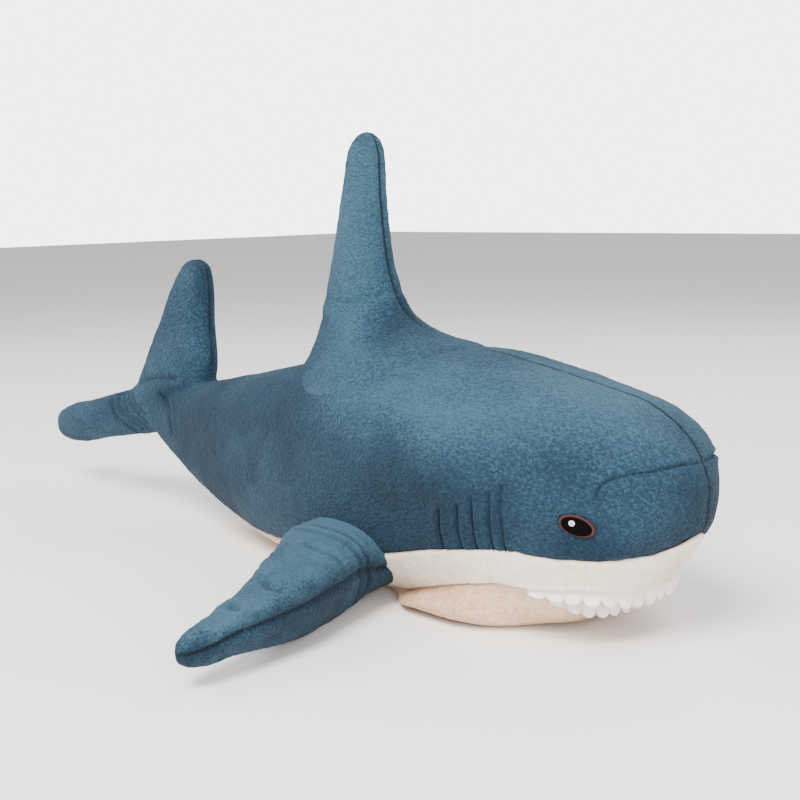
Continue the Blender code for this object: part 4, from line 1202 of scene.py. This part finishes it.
# The fin's pad: sections through its rows, with a rounded chord and a thickness that follows a sine.
def tailPad():
    table = np.array([(*front, *rear, half) for front, rear, half in tail["rows"]])
    lengths = lengthAlong((table[:, 0:2] + table[:, 2:4]) / 2)
    values = smoothThrough(lengths, table, np.linspace(0, lengths[-1], 90))
    values[[0, -1], 4] = tail["thinnest"]
    turn = np.linspace(0, 2 * math.pi, 48, endpoint=False)
    chord, _ = superRound(turn, tail["roundness"])
    centre, reach = (values[:, 0:2] + values[:, 2:4]) / 2, (values[:, 2:4] - values[:, 0:2]) / 2
    flat = centre[:, None] - reach[:, None] * chord[None, :, None]
    thick = np.maximum(values[:, 4], tail["thinnest"])[:, None] * np.sin(turn)[None]
    return np.stack([shark["noseX"] - flat[..., 0], thick, flat[..., 1]], axis=-1)


# The end of the body, closed at both ends.
def tailStalk():
    first, last = tail["stalk"]
    s = np.concatenate([[first], np.linspace(first, last, 40), [last]])
    return bodySkin(s[:, None], np.linspace(0, 2 * math.pi, 48, endpoint=False)[None], -0.0012)


# Closed grids made one mesh without inner faces, by a voxel remesh and one round of subdivision.
def joinedMesh(grids):
    points, faces, before = [], [], 0
    for grid in grids:
        grid[0], grid[-1] = grid[0].mean(axis=0), grid[-1].mean(axis=0)
        points.append(grid.reshape(-1, 3))
        faces.append(gridFaces(*grid.shape[:2], True) + before)
        before += len(points[-1])
    draft = bpy.data.meshes.new("tail_draft")
    draft.from_pydata(np.concatenate(points).tolist(), [], np.concatenate(faces).tolist())
    work = bmesh.new()
    work.from_mesh(draft)
    weld(work)
    bmesh.ops.recalc_face_normals(work, faces=work.faces)
    work.to_mesh(draft)
    work.free()
    holder = bpy.data.objects.new("tail_draft", draft)
    bpy.context.scene.collection.objects.link(holder)
    joined = holder.modifiers.new("joined", "REMESH")
    joined.mode, joined.voxel_size = "VOXEL", tail["voxel"]
    finer = holder.modifiers.new("finer", "SUBSURF")
    finer.levels = finer.render_levels = 1
    bpy.context.view_layer.update()
    made = bpy.data.meshes.new_from_object(holder.evaluated_get(bpy.context.evaluated_depsgraph_get()))
    bpy.data.objects.remove(holder)
    return made


# one vector for each point of a mesh, such as its place (co) or its normal
def pointVectors(mesh, label):
    values = np.empty(len(mesh.vertices) * 3, np.float32)
    mesh.vertices.foreach_get(label, values)
    return values.reshape(-1, 3).astype(float)


# The tail: the end of the body and the two-lobed fin joined as one skin, with folds gathered at the fork.
def tailFin():
    made = joinedMesh((tailPad(), tailStalk()))
    edges = np.empty(len(made.edges) * 2, np.int32)
    made.edges.foreach_get("vertices", edges)
    points = relaxed(pointVectors(made, "co"), edges.reshape(-1, 2), tail["smooth"])
    made.vertices.foreach_set("co", points.astype(np.float32).ravel())
    made.update()
    normal = pointVectors(made, "normal")
    s, z = shark["noseX"] - points[:, 0], points[:, 2]
    plane = np.stack([s, z], axis=-1)
    free = np.maximum(easeStep(s, 0.94, 0.98), easeStep(z, 0.245, 0.265))  # only free edges have a seam
    dip = tail["seamDepth"] * bell(points[:, 1], tail["seamWidth"]) * free
    shade = 0.7 * bell(points[:, 1], 0.0024) * free
    facing = easeStep(np.abs(points[:, 1]), 0.006, 0.016)
    for wrinkle in tail["wrinkles"]:
        near = lineDistance(plane, np.array(wrinkle))
        dip += facing * pinch(near, tail["foldDepth"], tail["foldWidth"], 0.35)
        shade = np.maximum(shade, 0.35 * facing * bell(near, 0.004))
    # painted shadow on the tail's stalk; the upper lobe is also darker near its front edge, with soft clouds
    stalkShadow = (1 - easeStep(s, 1.00, 1.07)) * (1 - easeStep(z, 0.20, 0.25))
    tipShare = bell(s - 0.905, 0.016) * bell(z - 0.385, 0.034)
    strokeAndLight = 0.04 - 0.30 * stalkShadow - 0.30 * tipShare + 0.10 * ripple(points, 0.09, 97)
    points += normal * (softness(points, 0.8) * easeStep(s, 0.93, 0.97) - dip)[:, None]
    made.vertices.foreach_set("co", points.astype(np.float32).ravel())
    paint(made, "crease", shade)
    paint(made, "brushed", strokeAndLight)
    made.shade_smooth()
    made.materials.clear()
    made.materials.append(bluePlush)
    piece = bpy.data.objects.new("tail_fin_skin", made)
    bpy.context.scene.collection.objects.link(piece)
    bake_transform(piece)
    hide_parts("tail_fin_panel_left", "tail_fin_panel_right", "tail_fin_filling")


# each point moves half way to the mean of its neighbours, again and again
def relaxed(points, edges, times):
    first, second = edges[:, 0], edges[:, 1]
    counts = np.bincount(edges.ravel(), minlength=len(points))[:, None]
    for _ in range(times):
        total = np.zeros_like(points)
        for i in range(3):
            total[:, i] = np.bincount(first, points[second, i], len(points))
            total[:, i] += np.bincount(second, points[first, i], len(points))
        points = points + 0.5 * (total / np.maximum(counts, 1) - points)
    return points


dorsalFin()
pectoralFin(1, "left")
pectoralFin(-1, "right")
tailFin()
print("fins made")


studio = {
    "cameraPlace": (1.400, -1.214, 0.514), "yaw": math.radians(134.487), "pitch": math.radians(9.053),
    "roll": math.radians(-1.069), "lens": 56.25,
    "floorHalf": 14.0, "aim": (0.1, 0, 0.15),
    "lights": (  # place, size, watts, colour
        ((0.9, -2.2, 3.0), 1.8, 230, (1.0, 0.97, 0.93)),
        ((-2.4, -1.2, 2.4), 2.0, 70, (0.93, 0.97, 1.0)),
        ((0.2, 2.4, 2.6), 2.2, 60, (1.0, 1.0, 1.0)),
        ((2.2, -1.0, 0.9), 1.2, 34, (1.0, 0.96, 0.92)),
    ),
    "sky": (0.98, 0.98, 1.0), "skyStrength": 0.8, "backdrop": 5.0,
}


# a wide sheet of paper under the toy, kept out of the exported model
def makeFloor():
    floor = bpy.data.meshes.new("floor")
    half = studio["floorHalf"]
    corners = [(-half, -half, 0), (half, -half, 0), (half, half, 0), (-half, half, 0)]
    floor.from_pydata(corners, [], [(0, 1, 2, 3)])
    paper, tree, shader, place = newMaterial("paper")
    colour = mixColour(tree, noise(tree, place, 3.0, 2.0), (0.93, 0.93, 0.925, 1), (0.96, 0.96, 0.955, 1))
    tree.links.new(colour, shader.inputs["Base Color"])
    shader.inputs["Roughness"].default_value = 0.9
    floor.materials.append(paper)
    plane = bpy.data.objects.new("floor", floor)
    bpy.context.scene.collection.objects.link(plane)


# round area lights that face the toy, and a sky that looks bright behind it but lights it softly
def makeLights():
    for number, (place, size, power, colour) in enumerate(studio["lights"]):
        light = bpy.data.lights.new(f"softbox_{number + 1}", "AREA")
        light.shape, light.size, light.energy, light.color = "DISK", size, power, colour
        holder = bpy.data.objects.new(light.name, light)
        holder.location = place
        holder.rotation_mode = "QUATERNION"
        aim = Vector(studio["aim"]) - Vector(place)
        holder.rotation_quaternion = aim.to_track_quat("-Z", "Y")
        bpy.context.scene.collection.objects.link(holder)
    world = bpy.data.worlds.new("studio")
    world.use_nodes = True
    tree = world.node_tree
    sky = tree.nodes["Background"]
    sky.inputs[0].default_value = (*studio["sky"], 1)
    seen = node(tree, "ShaderNodeLightPath").outputs["Is Camera Ray"]
    tree.links.new(spread(tree, seen, 0, 1, studio["skyStrength"], studio["backdrop"]), sky.inputs[1])
    bpy.context.scene.world = world


# the camera's axes from its heading, its tilt down and its roll
def makeCamera():
    yaw, pitch, roll = studio["yaw"], studio["pitch"], studio["roll"]
    ahead = np.array([math.cos(pitch) * math.cos(yaw), math.cos(pitch) * math.sin(yaw), -math.sin(pitch)])
    level = np.cross(ahead, (0, 0, 1))
    level /= np.linalg.norm(level)
    upright = np.cross(level, ahead)
    across = math.cos(roll) * level + math.sin(roll) * upright
    upward = -math.sin(roll) * level + math.cos(roll) * upright
    camera = bpy.data.cameras.new("camera")
    camera.lens, camera.sensor_width = studio["lens"], 36.0
    camera.dof.use_dof = False
    holder = bpy.data.objects.new("camera", camera)
    axes = np.eye(4)
    axes[:3, 0], axes[:3, 1], axes[:3, 2], axes[:3, 3] = across, upward, -ahead, studio["cameraPlace"]
    holder.matrix_world = Matrix(axes.tolist())
    bpy.context.scene.collection.objects.link(holder)
    bpy.context.scene.camera = holder


makeFloor()
makeLights()
makeCamera()
print("studio made")
